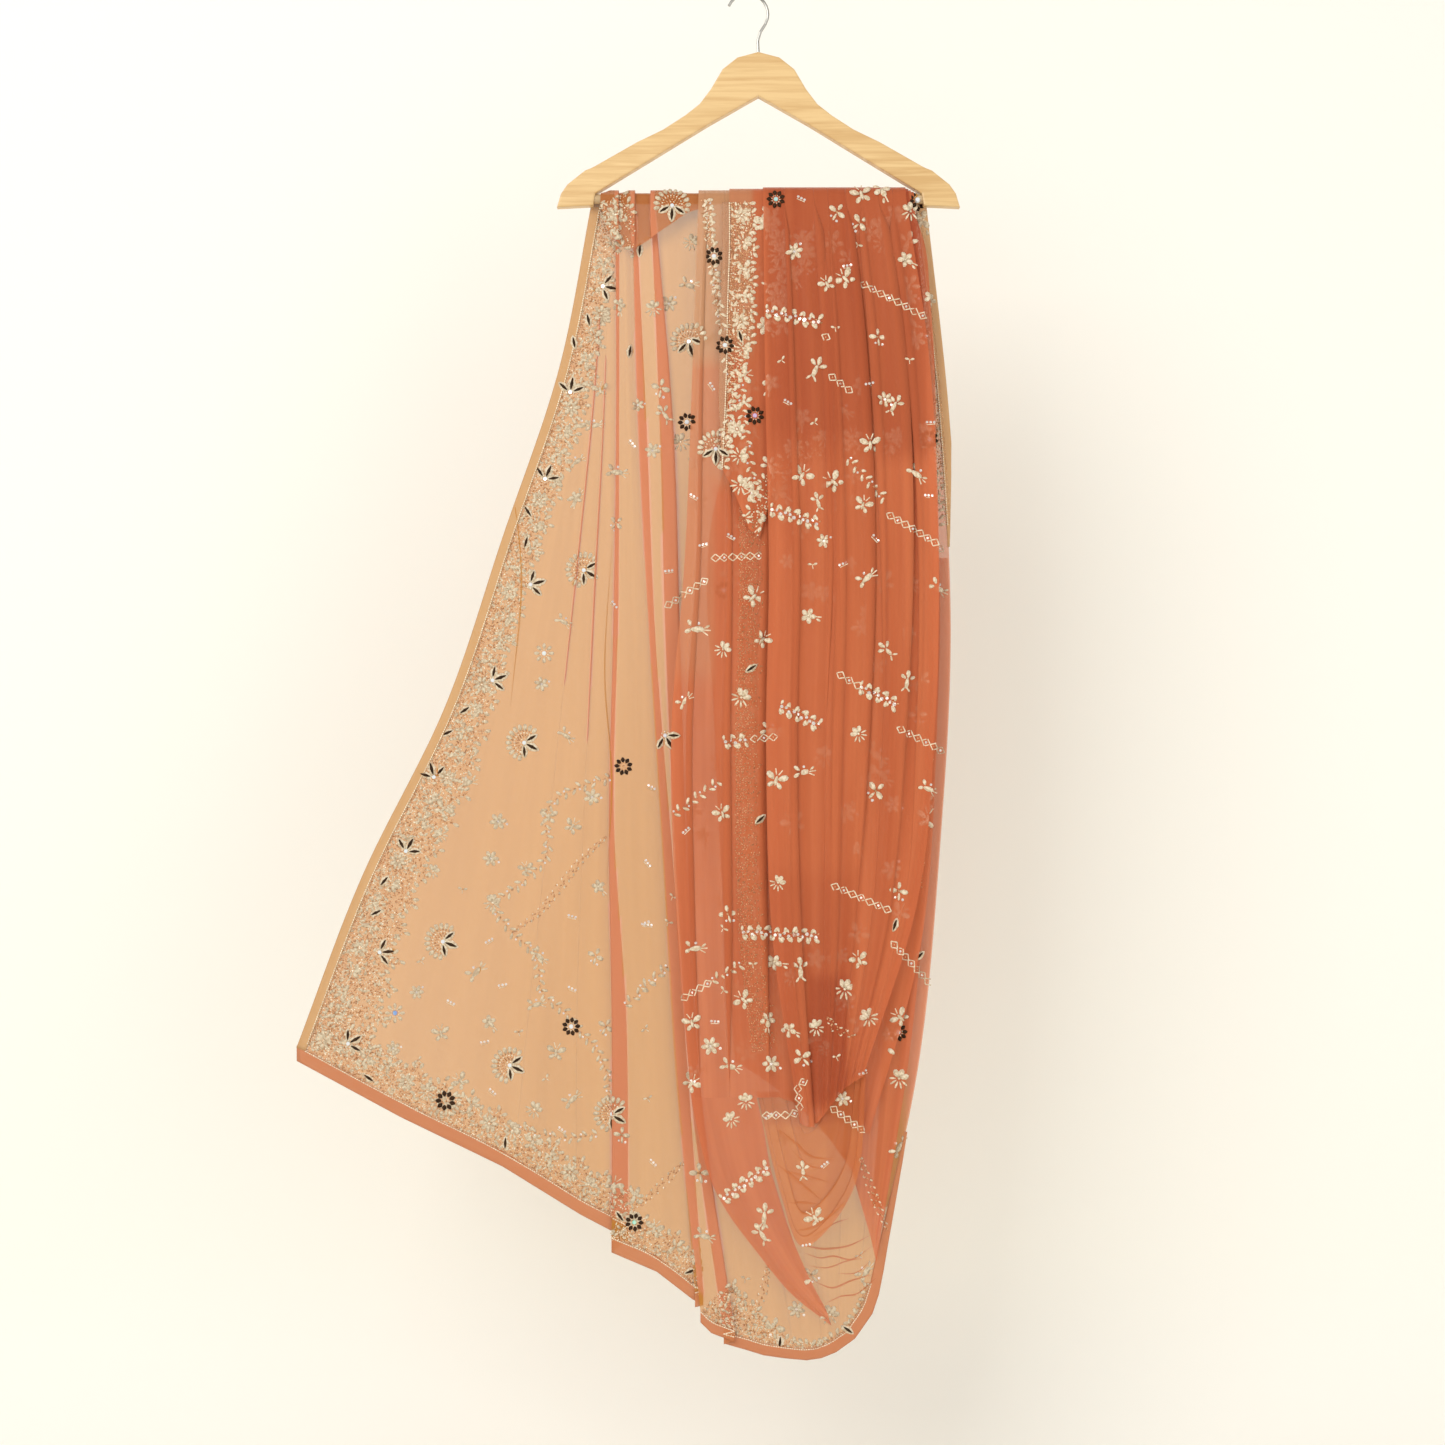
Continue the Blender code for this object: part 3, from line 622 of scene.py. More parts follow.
net_flap = hang_sheet(
    "net_flap", "flap_border",
    [sheet_lines(FLAP_ROWS, FLAP_STAND, 5.0, 0.35, 3.2, (), 60)],
    rust_net, 0.33,
)
net_front = hang_sheet(
    "net_front", "fall_front",
    [sheet_lines(
        FRONT_ROWS, (-12.8, -20.0), 6.0, 0.75, 2.4,
        ((2.2, (4, 6, 7, 7, 9, 6)), (4.9, (9, 9, 5, 0, 0, 0)), (6.6, (0, -6, -10, -12, -8, 0)),
         (8.4, (6, 10, 10, 7, 0, 0)), (10.3, (-6, -9, -6, 0, 0, 0)), (12.2, (9, 11, 9, 5, 2, 0)),
         (14.1, (-8, -8, -5, -3, 0, 0))),
    )],
    rust_net, 1.0,
)


# The cowl is a loose scoop of the net that hangs between the gathered falls at the foot. Its folds
# nest one under the next, and each sags lower than the last.
COWL_INNER = ((52, 984), (56, 1003), (63, 1020), (77, 1008), (92, 976))
COWL_OUTER = ((10, 984), (36, 1094), (63, 1151), (118, 1082), (130, 960))
COWL_FOLDS = 4
COWL_FOLD_LIFT = 1.0
COWL_OVERLAP = 0.055
COWL_RIGHT_BACK = 2.8
COWL_LEFT_BACK = 11.5
COWL_STAND = (-18.5, -22.6)


def cowl_lines():
    lines = []
    shares = np.linspace(0.0, 1.0, 61)
    sag = np.sin(np.pi * shares)
    inner, outer = curves_through(COWL_INNER, shares), curves_through(COWL_OUTER, shares)
    for drop in np.linspace(0.0, 1.0, 24 * COWL_FOLDS + 1):
        turned = 2 * math.pi * COWL_FOLDS * (drop + 0.05 * math.sin(7.3 * drop))
        turned = turned + 1.5 * np.sin(3.1 * shares + 4.0 * drop)
        full = (0.45 + 0.55 * sag) * smooth_step(6 * drop) * smooth_step(6 * (1 - drop))
        wave = np.sin(turned) * full
        depth = COWL_STAND[0] + (COWL_STAND[1] - COWL_STAND[0]) * drop * sag + COWL_FOLD_LIFT * wave
        depth += COWL_RIGHT_BACK * shares ** 3 + COWL_LEFT_BACK * (1 - shares) ** 4
        place = drop + COWL_OVERLAP * wave
        across = inner[0] + (outer[0] - inner[0]) * place
        down = inner[1] + (outer[1] - inner[1]) * place
        lines.append(np.stack((across, depth, 1000 * BAR_Z - down), axis=1) / 1000)
    return lines


cowl_net = net_material("net of the cowl", (0.66, 0.200, 0.050), (0.60, 0.155, 0.036), 0.37)
net_cowl = hang_sheet("net_cowl", "swag_cowl", [cowl_lines()], cowl_net, 0.26)


# The right border is folded round behind the falls, so it shows only dimly through them. It is a
# strip of the same net, set just behind the under fall's edge.
TURNED_WIDTH = 52.0
TURNED_BEHIND = 0.0026


def edge_points(row, stand, start, end, count):
    """Points down one line of cloth between two shares of its fall, in metres."""
    line = cloth_line((*row, 0.0)[:10], stand, 0.0, 0.0, steps=400)[:401][::-1]
    places = np.linspace(start, end, count + 1) * 400
    return np.array([line[int(round(place))] for place in places])


def turned_lines():
    points = edge_points(UNDER_ROWS[-1], BACK_STAND, 0.33, 0.93, 60)
    part = np.linspace(0.0, 1.0, len(points))
    wide = 0.35 + 0.65 * np.sin(np.pi * part)
    lines = []
    for share in np.linspace(1.0, 0.0, 13):
        inset = 0.001 + share * TURNED_WIDTH / 1000 * wide
        behind = np.full(len(points), TURNED_BEHIND)
        line = points + np.stack((-inset, behind, np.zeros(len(points))), axis=1)
        lines.append(line[::-1])
    return lines


hang_sheet("net_turned", "border_turned", [turned_lines()], rust_net, 0.6)


# Under the turned-over end and in the tightest gathers many layers lie together, so the net looks
# deeper there. Beside the turned end the middle fall lies flat and open, and looks paler. The tan
# net is marked where a pleat or a tuck lies three deep.
TOWARDS_CLOTH = Vector((0.0, 1.0, 0.0))
BEFORE_CLOTH = -0.2
THREE_DEEP = 3
FOLD_REACH = 0.0005
PAST_LAYER = 0.00002


def tree_of(pieces):
    """The surfaces of some pieces, for finding where a needle would meet them."""
    places, sides = [], []
    for piece in pieces:
        faces = piece.data.polygons
        sides += [[len(places) + corner for corner in face.vertices] for face in faces]
        places += [vert.co[:] for vert in piece.data.vertices]
    return BVHTree.FromPolygons(places, sides)


def mark_folds(piece, edge_mark):
    """Marks each point where the tan net lies three deep, and an edge that is gathered in."""
    mesh = piece.data
    tree = tree_of((net_spread, net_under))
    mark_cloth(piece, "folded", edge_mark)
    marked = mesh.attributes["folded"].data
    for vert in mesh.vertices:
        for aside in (-FOLD_REACH, FOLD_REACH):
            layers, start = 0, Vector((vert.co.x + aside, BEFORE_CLOTH, vert.co.z))
            while layers < THREE_DEEP:
                place = tree.ray_cast(start, TOWARDS_CLOTH)[0]
                if place is None:
                    break
                layers, start = layers + 1, place + PAST_LAYER * TOWARDS_CLOTH
            if layers == THREE_DEEP:
                marked[vert.index].value = 1.0


mark_folds(net_spread, ())
mark_folds(net_under, ((220, 660, 46, 400, 1.0),))
mark_cloth(net_mid, "loose", (
    (-40, 60, 52, 130, 0.9), (-40, 230, 52, 90, 0.35), (-62, 400, 26, 130, 0.3),
))
for beside_bar in (net_spread, net_under):
    mark_cloth(beside_bar, "deep", ((-112, 20, 70, 70, 0.6),), only_near=True)
mark_cloth(net_cowl, "deep", ((68, 985, 90, 34, 0.45), (100, 1060, 14, 60, 0.25)))
mark_cloth(net_flap, "loose", ((-14, 60, 20, 110, 0.5),))
mark_cloth(net_flap, "deep", ((110, 120, 90, 200, 1.0),))
mark_cloth(net_front, "deep", (
    (110, 110, 95, 168, 0.42), (172, 190, 26, 100, 0.5), (88, 925, 22, 75, 0.75),
    (60, 860, 60, 120, 0.25),
))


# Every raw edge is bound with a narrow fold of plain net, sewn flat. The binding is two layers
# thick, so it looks denser than the cloth beside it.
BINDING_LAP = 1.2
BINDING_FORWARD = -0.0006
BINDING_THICK = 0.0005


def binding_lines(edge, headings, width, tapered):
    """Lines of a strip along an edge, lapped a little over the cloth and narrowed at its end."""
    turned = np.radians(headings)
    out = np.stack((np.cos(turned), np.zeros(len(turned)), np.sin(turned)), axis=1)
    left = np.arange(len(edge))[::-1]
    wide = width * (0.2 + 0.8 * np.clip(left / tapered, 0.0, 1.0)) if tapered else width
    wide = np.reshape(wide * np.ones(len(edge)), (-1, 1))
    forward = np.array((0.0, BINDING_FORWARD, 0.0))
    return [
        edge + forward + out * (wide * share - BINDING_LAP) / 1000
        for share in np.linspace(0.0, 1.0, 6)
    ]


def headings_beside(edge, side):
    """The heading square to an edge at each of its points, to its left (-1) or its right (1)."""
    along = np.gradient(edge, axis=0)
    return np.degrees(np.arctan2(along[:, 0] * side, -along[:, 2] * side))


def fine_hem(rows, stand, parts=10):
    """The hem's points, as close together as the sheet's own lines."""
    points = []
    for low in range(len(rows) - 1):
        for part in range(parts):
            points.append(cloth_line(row_between(rows, low + part / parts), stand, 0.0, 0.0)[0])
    points.append(cloth_line(row_between(rows, len(rows) - 1), stand, 0.0, 0.0)[0])
    return np.array(points)


def bind_edge(name, node, edge, headings, width, material, sheet, tapered=0):
    piece = cloth_mesh(name, [binding_lines(edge, headings, width, tapered)], material)
    thick = piece.modifiers.new("two layers", "SOLIDIFY")
    thick.thickness = BINDING_THICK
    thick.offset = 0.0
    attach(piece, "root")
    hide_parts(node)
    SHEETS[sheet]["with"].append(piece)


sand_binding = net_material("sand net binding", (0.69, 0.40, 0.17), (0.63, 0.34, 0.13), 0.24)
coral_binding = net_material("coral net binding", (0.66, 0.245, 0.095), (0.61, 0.205, 0.075), 0.22)
PAST_CORNER = 0.010

end_edge = edge_points(SPREAD_ROWS[0], BACK_STAND, 0.003, 1.0, 120)
bind_edge("binding_end", "edging_end", end_edge, headings_beside(end_edge, -1), 11.0,
          sand_binding, "net_spread")
spread_hem = fine_hem(SPREAD_ROWS, BACK_STAND)
past_end = spread_hem[0] - spread_hem[4]
corner = spread_hem[0] + PAST_CORNER * past_end / np.linalg.norm(past_end)
bound_hem = np.concatenate(([corner], spread_hem))
bind_edge("binding_hem", "edging_hem_spread", bound_hem, np.full(len(bound_hem), -90.0), 17.0,
          coral_binding, "net_spread")
under_hem = fine_hem(UNDER_ROWS, BACK_STAND)
cowl_rise = edge_points(UNDER_ROWS[-1], BACK_STAND, 0.985, 0.86, 24)
swung = np.clip((np.linspace(0.0, 1.0, len(under_hem)) - 0.45) / 0.55, 0.0, 1.0)
cowl_headings = np.concatenate((-90 + 75 * swung ** 1.4, np.linspace(-15, -5, len(cowl_rise))))
cowl_edge = np.concatenate((under_hem, cowl_rise))
bind_edge("binding_cowl", "edging_cowl", cowl_edge, cowl_headings, 13.0, coral_binding,
          "net_under", 28)
side_edge = edge_points(UNDER_ROWS[-1], BACK_STAND, 0.003, 0.32, 60)
bind_edge("binding_side", "edging_side", side_edge, headings_beside(side_edge, 1), 11.5,
          sand_binding, "net_under", 18)
flap_edge = edge_points(FLAP_ROWS[0], FLAP_STAND, 0.02, 1.0, 60)
pale_binding = net_material("pale net binding", (0.66, 0.36, 0.20), (0.58, 0.29, 0.15), 0.55)
bind_edge("binding_flap", "edging_flap", flap_edge, headings_beside(flap_edge, -1), 9.0,
          pale_binding, "net_flap", 16)


# The stole is worked all over by hand in pale metal thread, beads, foil sequins and pasted stones.
# Each stitch, bead, petal, sequin and stone is a small shape laid on the sheet that carries it,
# half in front of it and half behind, as thread passes through net.
def shape_of(start, bend=None):
    """A small shape's points and triangles, lying along X, 1 long, 1 wide and 1 thick."""
    shape = bmesh.new()
    start(shape)
    bmesh.ops.triangulate(shape, faces=shape.faces)
    if bend:
        for vert in shape.verts:
            vert.co = bend(vert.co)
    bmesh.ops.recalc_face_normals(shape, faces=shape.faces)
    shape.verts.index_update()
    points = np.array([vert.co[:] for vert in shape.verts])
    corners = np.array([[vert.index for vert in face.verts] for face in shape.faces])
    shape.free()
    return points, corners


def pad(shape):
    bmesh.ops.create_uvsphere(shape, u_segments=8, v_segments=3, radius=0.577)


def pebble(shape):
    bmesh.ops.create_icosphere(shape, subdivisions=1, radius=0.5)


def rod(shape):
    bmesh.ops.create_cone(
        shape, cap_ends=True, segments=4, radius1=0.5, radius2=0.5, depth=1.0,
        matrix=Matrix.Rotation(math.pi / 2, 4, "Y"),
    )


def disc(shape):
    bmesh.ops.create_cone(shape, cap_ends=True, segments=6, radius1=0.5, radius2=0.44, depth=1.0)


def cut_glass(shape):
    bmesh.ops.create_cone(shape, cap_ends=True, segments=8, radius1=0.5, radius2=0.30, depth=1.0)


SHAPES = {
    "petal": shape_of(
        pad, lambda p: Vector((p.x, p.y * (0.62 + 0.7 * (p.x + 0.5) * (1.1 - p.x)), p.z))
    ),
    "rim": shape_of(pad, lambda p: Vector((p.x, p.y * (1.1 - 2.2 * p.x * p.x), p.z))),
    "leaf": shape_of(pad, lambda p: Vector((p.x * 1.1, p.y * (1.15 - 2.6 * p.x * p.x), p.z))),
    "bead": shape_of(pebble),
    "pearl": shape_of(pebble),
    "stitch": shape_of(rod),
    "sequin": shape_of(disc),
    "stone": shape_of(cut_glass),
}
THICKNESS = {
    "petal": 0.9, "rim": 0.9, "leaf": 1.9, "bead": 1.0, "pearl": 1.1, "stitch": 0.55,
    "sequin": 0.35, "stone": 2.0,
}


def thread_material(name, bright, dull, roughness, metallic, twist):
    """Thread or foil whose stitches catch the light, its colour flecked by noise between a dull and
    a bright tone as painted glints: twist is how fine its lines are, per metre.
    """
    material = new_material(name)
    place = add_node(material, "TexCoord").outputs["Object"]
    lines = add_node(
        material, "TexWave", {"Scale": twist, "Distortion": 3.0, "Vector": place},
        bands_direction="DIAGONAL",
    )
    # The bright flecks laid over the dull tone are painted glints.
    painted_glints = add_node(material, "TexNoise", {"Scale": 420.0, "Detail": 1.0, "Vector": place})
    surface(material, {
        "Roughness": roughness, "Metallic": metallic,
        "Specular IOR Level": 0.5 if metallic else 0.12,
        "Base Color": two_tones(material, painted_glints.outputs["Fac"], dull, bright, 0.38, 0.60),
        "Normal": raised(material, lines.outputs["Fac"], 0.35, 0.0003),
    })
    return material


cream_thread = thread_material(
    "cream silk thread", (0.82, 0.70, 0.52), (0.60, 0.46, 0.30), 0.45, 0.0, 260.0
)
# The same cream thread, darker, for the sheets that hang back in shade against the wall: painted
# shade.
cream_thread_painted_shade = thread_material(
    "cream thread in shade", (0.70, 0.59, 0.42), (0.50, 0.38, 0.25), 0.5, 0.0, 260.0
)
copper_bead = thread_material(
    "copper gold bead", (0.76, 0.42, 0.22), (0.42, 0.19, 0.08), 0.28, 0.5, 200.0
)
pale_bead = thread_material(
    "pale glass bead", (0.93, 0.80, 0.60), (0.78, 0.58, 0.38), 0.22, 0.3, 200.0
)
foil = thread_material(
    "silver foil sequin", (0.95, 0.88, 0.82), (0.80, 0.66, 0.58), 0.16, 0.75, 150.0
)
dark_thread = thread_material(
    "dark brown thread", (0.050, 0.022, 0.008), (0.022, 0.009, 0.003), 0.55, 0.0, 260.0
)

stone_glass = new_material("foil backed glass stone")
# The stone's tint is raised and lowered cell by cell by a Voronoi pattern: painted sparkle.
painted_sparkle = add_node(stone_glass, "TexVoronoi", {
    "Scale": 700.0, "Vector": add_node(stone_glass, "TexCoord").outputs["Object"],
})
stone_tint = add_node(stone_glass, "Attribute", attribute_name="tint")
tint_with_painted_sparkle = add_node(stone_glass, "Mix", {
    "Factor": 0.5, "A": stone_tint.outputs["Color"], "B": painted_sparkle.outputs["Color"],
}, data_type="RGBA", blend_type="SOFT_LIGHT")
surface(stone_glass, {
    "Metallic": 0.35, "Roughness": 0.08, "Coat Weight": 0.8, "Coat Roughness": 0.03,
    "Base Color": tint_with_painted_sparkle.outputs["Result"],
})

STONE_TINTS = {
    "white": (0.86, 0.90, 0.92), "aqua": (0.45, 0.80, 0.74), "blue": (0.30, 0.48, 0.86),
    "lilac": (0.72, 0.55, 0.80), "green": (0.42, 0.76, 0.60), "none": (0.5, 0.5, 0.5),
}

# What a needle meets: a sheet alone, or a sheet with its bindings.
BARE = {name: tree_of([made["piece"]]) for name, made in SHEETS.items()}
BOUND = {name: tree_of([made["piece"], *made["with"]]) for name, made in SHEETS.items()}
EDGE_ON = 0.25
STEEPEST = 1.3


def touch(sheet, across, down, trees=BOUND):
    """Where a needle pushed in from the front meets a sheet, and the sheet's slope there."""
    start = Vector((across / 1000, BEFORE_CLOTH, BAR_Z - down / 1000))
    place, normal, _, _ = trees[sheet].ray_cast(start, TOWARDS_CLOTH)
    if place is None or abs(normal.y) < EDGE_ON:
        return None
    lean, fall = (max(-STEEPEST, min(STEEPEST, -part / normal.y)) for part in (normal.x, normal.z))
    return place.y, lean, fall


def sheet_at(across, down, layer=0):
    """The sheet that lies outermost at a place, or the next behind it, or None beside the cloth."""
    found = sorted(
        (hit[0], name) for name in BOUND for hit in [touch(name, across, down)] if hit
    )
    return found[min(layer, len(found) - 1)][1] if found else None


# The loose net at the foot is crumpled. Each crease is a narrow lap of the net pressed flat, so it
# looks deeper in tone, and it swells a little from its sheet in the middle.
CREASES = (
    ("net_under", 1.0, (58, 1154), (72, 1158), (88, 1160), (112, 1156), (136, 1145)),
    ("net_under", 0.8, (63, 1164), (80, 1170), (96, 1168), (116, 1171), (138, 1157)),
    ("net_under", 0.6, (66, 1178), (88, 1181), (110, 1173), (130, 1170)),
    ("net_under", 0.9, (74, 1196), (94, 1203), (114, 1195), (140, 1188)),
    ("net_under", 0.7, (86, 1221), (104, 1212), (122, 1209), (142, 1192)),
    ("net_under", 0.5, (100, 1187), (120, 1186), (137, 1173)),
    ("net_under", 0.6, (70, 1148), (96, 1132), (112, 1126)),
    ("net_cowl", 1.3, (30, 1022), (52, 1038), (70, 1053), (96, 1055)),
    ("net_cowl", 1.5, (31, 1061), (55, 1079), (82, 1102)),
    ("net_cowl", 0.9, (38, 1068), (65, 1074), (93, 1082)),
    ("net_cowl", 1.1, (42, 1104), (60, 1103), (78, 1105)),
    ("net_cowl", 1.5, (52, 1134), (70, 1130), (90, 1117), (111, 1098)),
    ("net_cowl", 0.9, (48, 1046), (66, 1062), (84, 1066)),
    ("net_spread", 0.8, (-262, 300), (-250, 420), (-262, 560)),
    ("net_spread", 0.7, (-150, 380), (-158, 520), (-150, 640), (-156, 760)),
)
creased = []
for sheet, widest, *corners in CREASES:
    shares = np.linspace(0.0, 1.0, 25)
    across, down = curves_through(corners, shares)
    ahead = np.stack((np.gradient(across), np.gradient(down)), axis=1)
    ahead /= np.linalg.norm(ahead, axis=1)[:, None]
    sides = ([], [], [])
    for share, x, low, (step_across, step_down) in zip(shares, across, down, ahead):
        hit = touch(sheet, x, low)
        if hit is None:
            continue
        half = widest * (0.12 + math.sin(math.pi * share))
        swells = (0.3, 0.3 + 0.5 * math.sin(math.pi * share), 0.3)
        for side, way, swell in zip(sides, (-1, 0, 1), swells):
            side.append(((x - way * half * step_down) / 1000, hit[0] - swell / 1000,
                         BAR_Z - (low + way * half * step_across) / 1000))
    creased.append((sheet, sides))
for sheet in ("net_under", "net_cowl", "net_spread"):
    laps = cloth_mesh(f"{sheet}_creases", [sides for on, sides in creased if on == sheet],
                      tan_net if sheet == "net_spread" else cowl_net)
    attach(laps, "root")
    SHEETS[sheet]["with"].append(laps)


# The motifs are sprigs, fans, open flowers, sprays and chains of these shapes. Each shape of a
# motif is (kind, right, up, angle, length, width) in mm, and it is laid on the cloth by itself.
SEWN = {}


def sew(sheet, part, motif, across, down, turn=0.0, size=1.0, tint="none", over_binding=False):
    """Lays a motif's shapes on a sheet, or each on whatever lies outermost under it."""
    cos, sin = math.cos(math.radians(turn)), math.sin(math.radians(turn))
    trees = BOUND if over_binding or part == "motifs" else BARE
    for kind, right, up, angle, length, width in motif:
        x = across + size * (right * cos - up * sin)
        low = down - size * (right * sin + up * cos)
        on = sheet_at(x, low) if sheet == "outermost" else sheet
        hit = on and touch(on, x, low, trees)
        if not hit:
            continue
        SEWN.setdefault((on, part), {}).setdefault(kind, []).append((
            x / 1000, hit[0], BAR_Z - low / 1000, math.radians(angle + turn),
            size * length / 1000, size * width / 1000, THICKNESS[kind] / 1000,
            hit[1], hit[2], *STONE_TINTS[tint],
        ))


def petals(kind, count, radius, length, width, first=90.0, spread=360.0):
    """Shapes set round a centre, each pointing out."""
    steps = count if spread == 360.0 else count - 1
    placed = []
    for step in range(count):
        angle = first + spread * step / steps
        turn = math.radians(angle)
        right, up = radius * math.cos(turn), radius * math.sin(turn)
        placed.append((kind, right, up, angle, length, width))
    return placed


def outlined(right, up, angle, length, width):
    """A dark leaf laid on a longer pale one, so that a pale line shows all round it."""
    return [
        ("rim", right, up, angle, length * 1.42, width * 2.7),
        ("leaf", right, up, angle, length, width),
    ]


BUTIS = (
    petals("petal", 5, 4.3, 7.4, 5.0)
    + [("pearl", 0, 0, 0, 2.4, 2.4), ("stitch", 6.5, -8, -50, 6, 1.2),
       ("petal", 4.2, -10.0, -75, 5.0, 2.4)],
    [("petal", -5.4, 3.2, 150, 9.4, 5.4), ("petal", 5.4, 3.2, 30, 9.4, 5.4),
     ("petal", -3.6, -3.8, 225, 6.6, 4.0), ("petal", 3.6, -3.8, -45, 6.6, 4.0),
     ("petal", 0, -0.5, 90, 9.0, 3.0), ("stitch", -2.0, 7.4, 115, 5.4, 1.0),
     ("stitch", 2.0, 7.4, 65, 5.4, 1.0)],
    [("petal", 0.5, 0, 12, 12.5, 5.4), ("petal", -6.6, 4.0, 140, 7.2, 3.8),
     ("petal", -6.8, -2.8, 215, 7.0, 3.8),
     ("petal", 8.4, 3.8, 42, 5.6, 2.2), ("stitch", 9.0, 1.0, 8, 6.6, 1.1),
     ("stitch", 8.0, -2.0, -24, 6.0, 1.1), ("sequin", 0.5, 5.4, 0, 3.2, 3.2)],
    petals("petal", 3, 5.0, 8.0, 5.2, 40.0, 100.0) + petals("petal", 5, 6.0, 7.0, 1.8, 200.0, 140.0)
    + [("pearl", 0, 0, 0, 3.0, 3.0)],
    [("petal", -5.0, 1.2, 165, 8.6, 5.0), ("petal", 5.0, -1.2, -15, 8.6, 5.0),
     ("petal", 1.0, 5.4, 80, 7.0, 4.0),
     ("bead", 0, 0, 0, 3.0, 3.0), ("petal", 0, -5.6, -95, 8.0, 2.6),
     ("sequin", 3.4, -8.6, 0, 3.2, 3.2), ("sequin", -3.6, -6.0, 0, 2.8, 2.8)],
    petals("petal", 6, 4.4, 7.4, 4.0)
    + [("sequin", 0, 0, 0, 3.4, 3.4), ("sequin", 8.6, 1.0, 0, 3.0, 3.0)],
    [("petal", 0, 6.0, 100, 8.0, 4.4), ("petal", 4.8, 3.0, 35, 7.0, 3.6),
     ("petal", -4.2, 2.6, 150, 6.6, 3.6), ("petal", 0.6, -3.2, -85, 12.0, 4.2),
     ("petal", 3.4, -9.4, -40, 5.6, 2.0), ("petal", -1.8, -10.0, -120, 5.6, 2.0)],
)
THREE_SEQUINS = [("sequin", -3.8, 0.6, 0, 3.4, 3.4), ("sequin", 0, 0, 0, 3.4, 3.4),
                 ("sequin", 3.8, -0.6, 0, 3.4, 3.4), ("stitch", 0, -2.4, -5, 9.5, 0.9)]
SMALL_SPRIG = [("petal", -3.0, 0.6, 170, 5.0, 2.6), ("petal", 2.8, 0.6, 20, 5.0, 2.6),
               ("bead", 0, 0, 0, 2.0, 2.0), ("stitch", 0, -2.8, -80, 4.0, 1.0)]
DARK_FLOWER = (
    petals("leaf", 9, 7.3, 5.6, 4.2) + petals("pearl", 10, 4.5, 1.7, 1.7)
    + [("stone", 0, 0, 0, 7.0, 7.0)]
)
OPEN_FLOWER = (
    petals("leaf", 9, 7.2, 5.6, 4.2) + petals("bead", 9, 4.2, 2.0, 2.0)
    + [("bead", 0, 0, 0, 2.6, 2.6)]
)
LEAF_TRIO = (
    outlined(0, 7.4, 90, 10.0, 2.6) + outlined(-6.6, 3.6, 148, 8.6, 2.3)
    + outlined(6.6, 3.6, 32, 8.6, 2.3) + petals("pearl", 7, 3.4, 1.6, 1.6)
    + [("stone", 0, 0, 0, 5.0, 5.0)]
)
SEED_FAN = (
    petals("petal", 12, 13.4, 6.0, 3.6, 168.0, 204.0)
    + petals("bead", 15, 10.4, 2.4, 1.5, 170.0, 200.0)
    + petals("pearl", 12, 8.6, 2.0, 1.5, 175.0, 190.0)
    + petals("bead", 10, 7.0, 2.4, 1.5, 178.0, 184.0)
    + petals("bead", 7, 5.2, 2.2, 1.5, 185.0, 170.0)
)
SPRAY = petals("petal", 8, 5.4, 8.0, 4.0) + [("pearl", 0, 0, 0, 3.2, 3.2)]
DIAMOND = [
    ("stitch", right, up, angle, 6.6, 1.25)
    for right, up, angle in ((2.6, 2.1, 141), (-2.6, 2.1, 39), (2.6, -2.1, -141), (-2.6, -2.1, -39))
]


def walk(corners, spacing):
    """Places and headings at an even spacing along a smooth line through a few points."""
    shares = np.linspace(0.0, 1.0, 40 * len(corners))
    if len(corners) == 2:
        line = np.array(corners[0]) + np.outer(shares, np.subtract(corners[1], corners[0]))
    else:
        line = np.stack(curves_through(corners, shares), axis=1)
    run = np.concatenate(([0.0], np.cumsum(np.linalg.norm(np.diff(line, axis=0), axis=1))))
    count = max(1, round(run[-1] / spacing))
    stops = (np.arange(count) + 0.5) * run[-1] / count
    slope = np.gradient(line, axis=0)
    across, down, rightward, downward = (
        np.interp(stops, run, column) for column in (*line.T, *slope.T)
    )
    return list(zip(across, down, np.degrees(np.arctan2(-downward, rightward))))


def diamond_chain(sheet, part, corners):
    for place, (across, down, ahead) in enumerate(walk(corners, 10.0)):
        middle = [("sequin", 0, 0, 0, 3.2, 3.2)] if place % 2 else [("bead", 0, 0, 0, 2.2, 2.2)]
        sew(sheet, part, DIAMOND + middle, across, down, ahead)


def sequin_bar(sheet, part, corners):
    for place, (across, down, ahead) in enumerate(walk(corners, 5.0)):
        sway = math.sin(2.3 * place)
        side = 1 if place % 2 else -1
        loops = [
            ("sequin", 0, 1.6 * sway, 0, 3.8, 3.8),
            ("petal", 1.0, side * 4.6, side * (55 + 30 * sway), 6.6, 3.6),
            ("petal", -1.4, -side * 4.0, side * (50 * sway - 90), 5.0, 2.8),
            ("bead", 2.4, -2.2 * sway, 30, 2.8, 1.7),
        ]
        sew(sheet, part, loops, across, down, ahead, 1.15 + 0.14 * math.sin(4.1 * place))


def leafy_line(sheet, part, corners, leaf=8.0):
    for place, (across, down, ahead) in enumerate(walk(corners, 5.8)):
        side = 1 if place % 2 else -1
        sprig = [("bead", 0, 0, 0, 3.4, 1.5), ("petal", 1.0, side * 3.2, side * 50, leaf, 3.2)]
        if place % 3 == 0:
            sprig.append(("sequin", 0, -side * 2.6, 0, 3.0, 3.0))
        sew(sheet, part, sprig, across, down, ahead + 14 * math.sin(1.7 * place))


def cord(sheet, part, corners):
    """A couched cord of pale thread, close against the binding."""
    for across, down, ahead in walk(corners, 2.6):
        pair = [("pearl", 0, 0, 0, 3.2, 1.9), ("bead", 0.6, 2.6, 0, 2.4, 1.4)]
        sew(sheet, part, pair, across, down, ahead, over_binding=True)


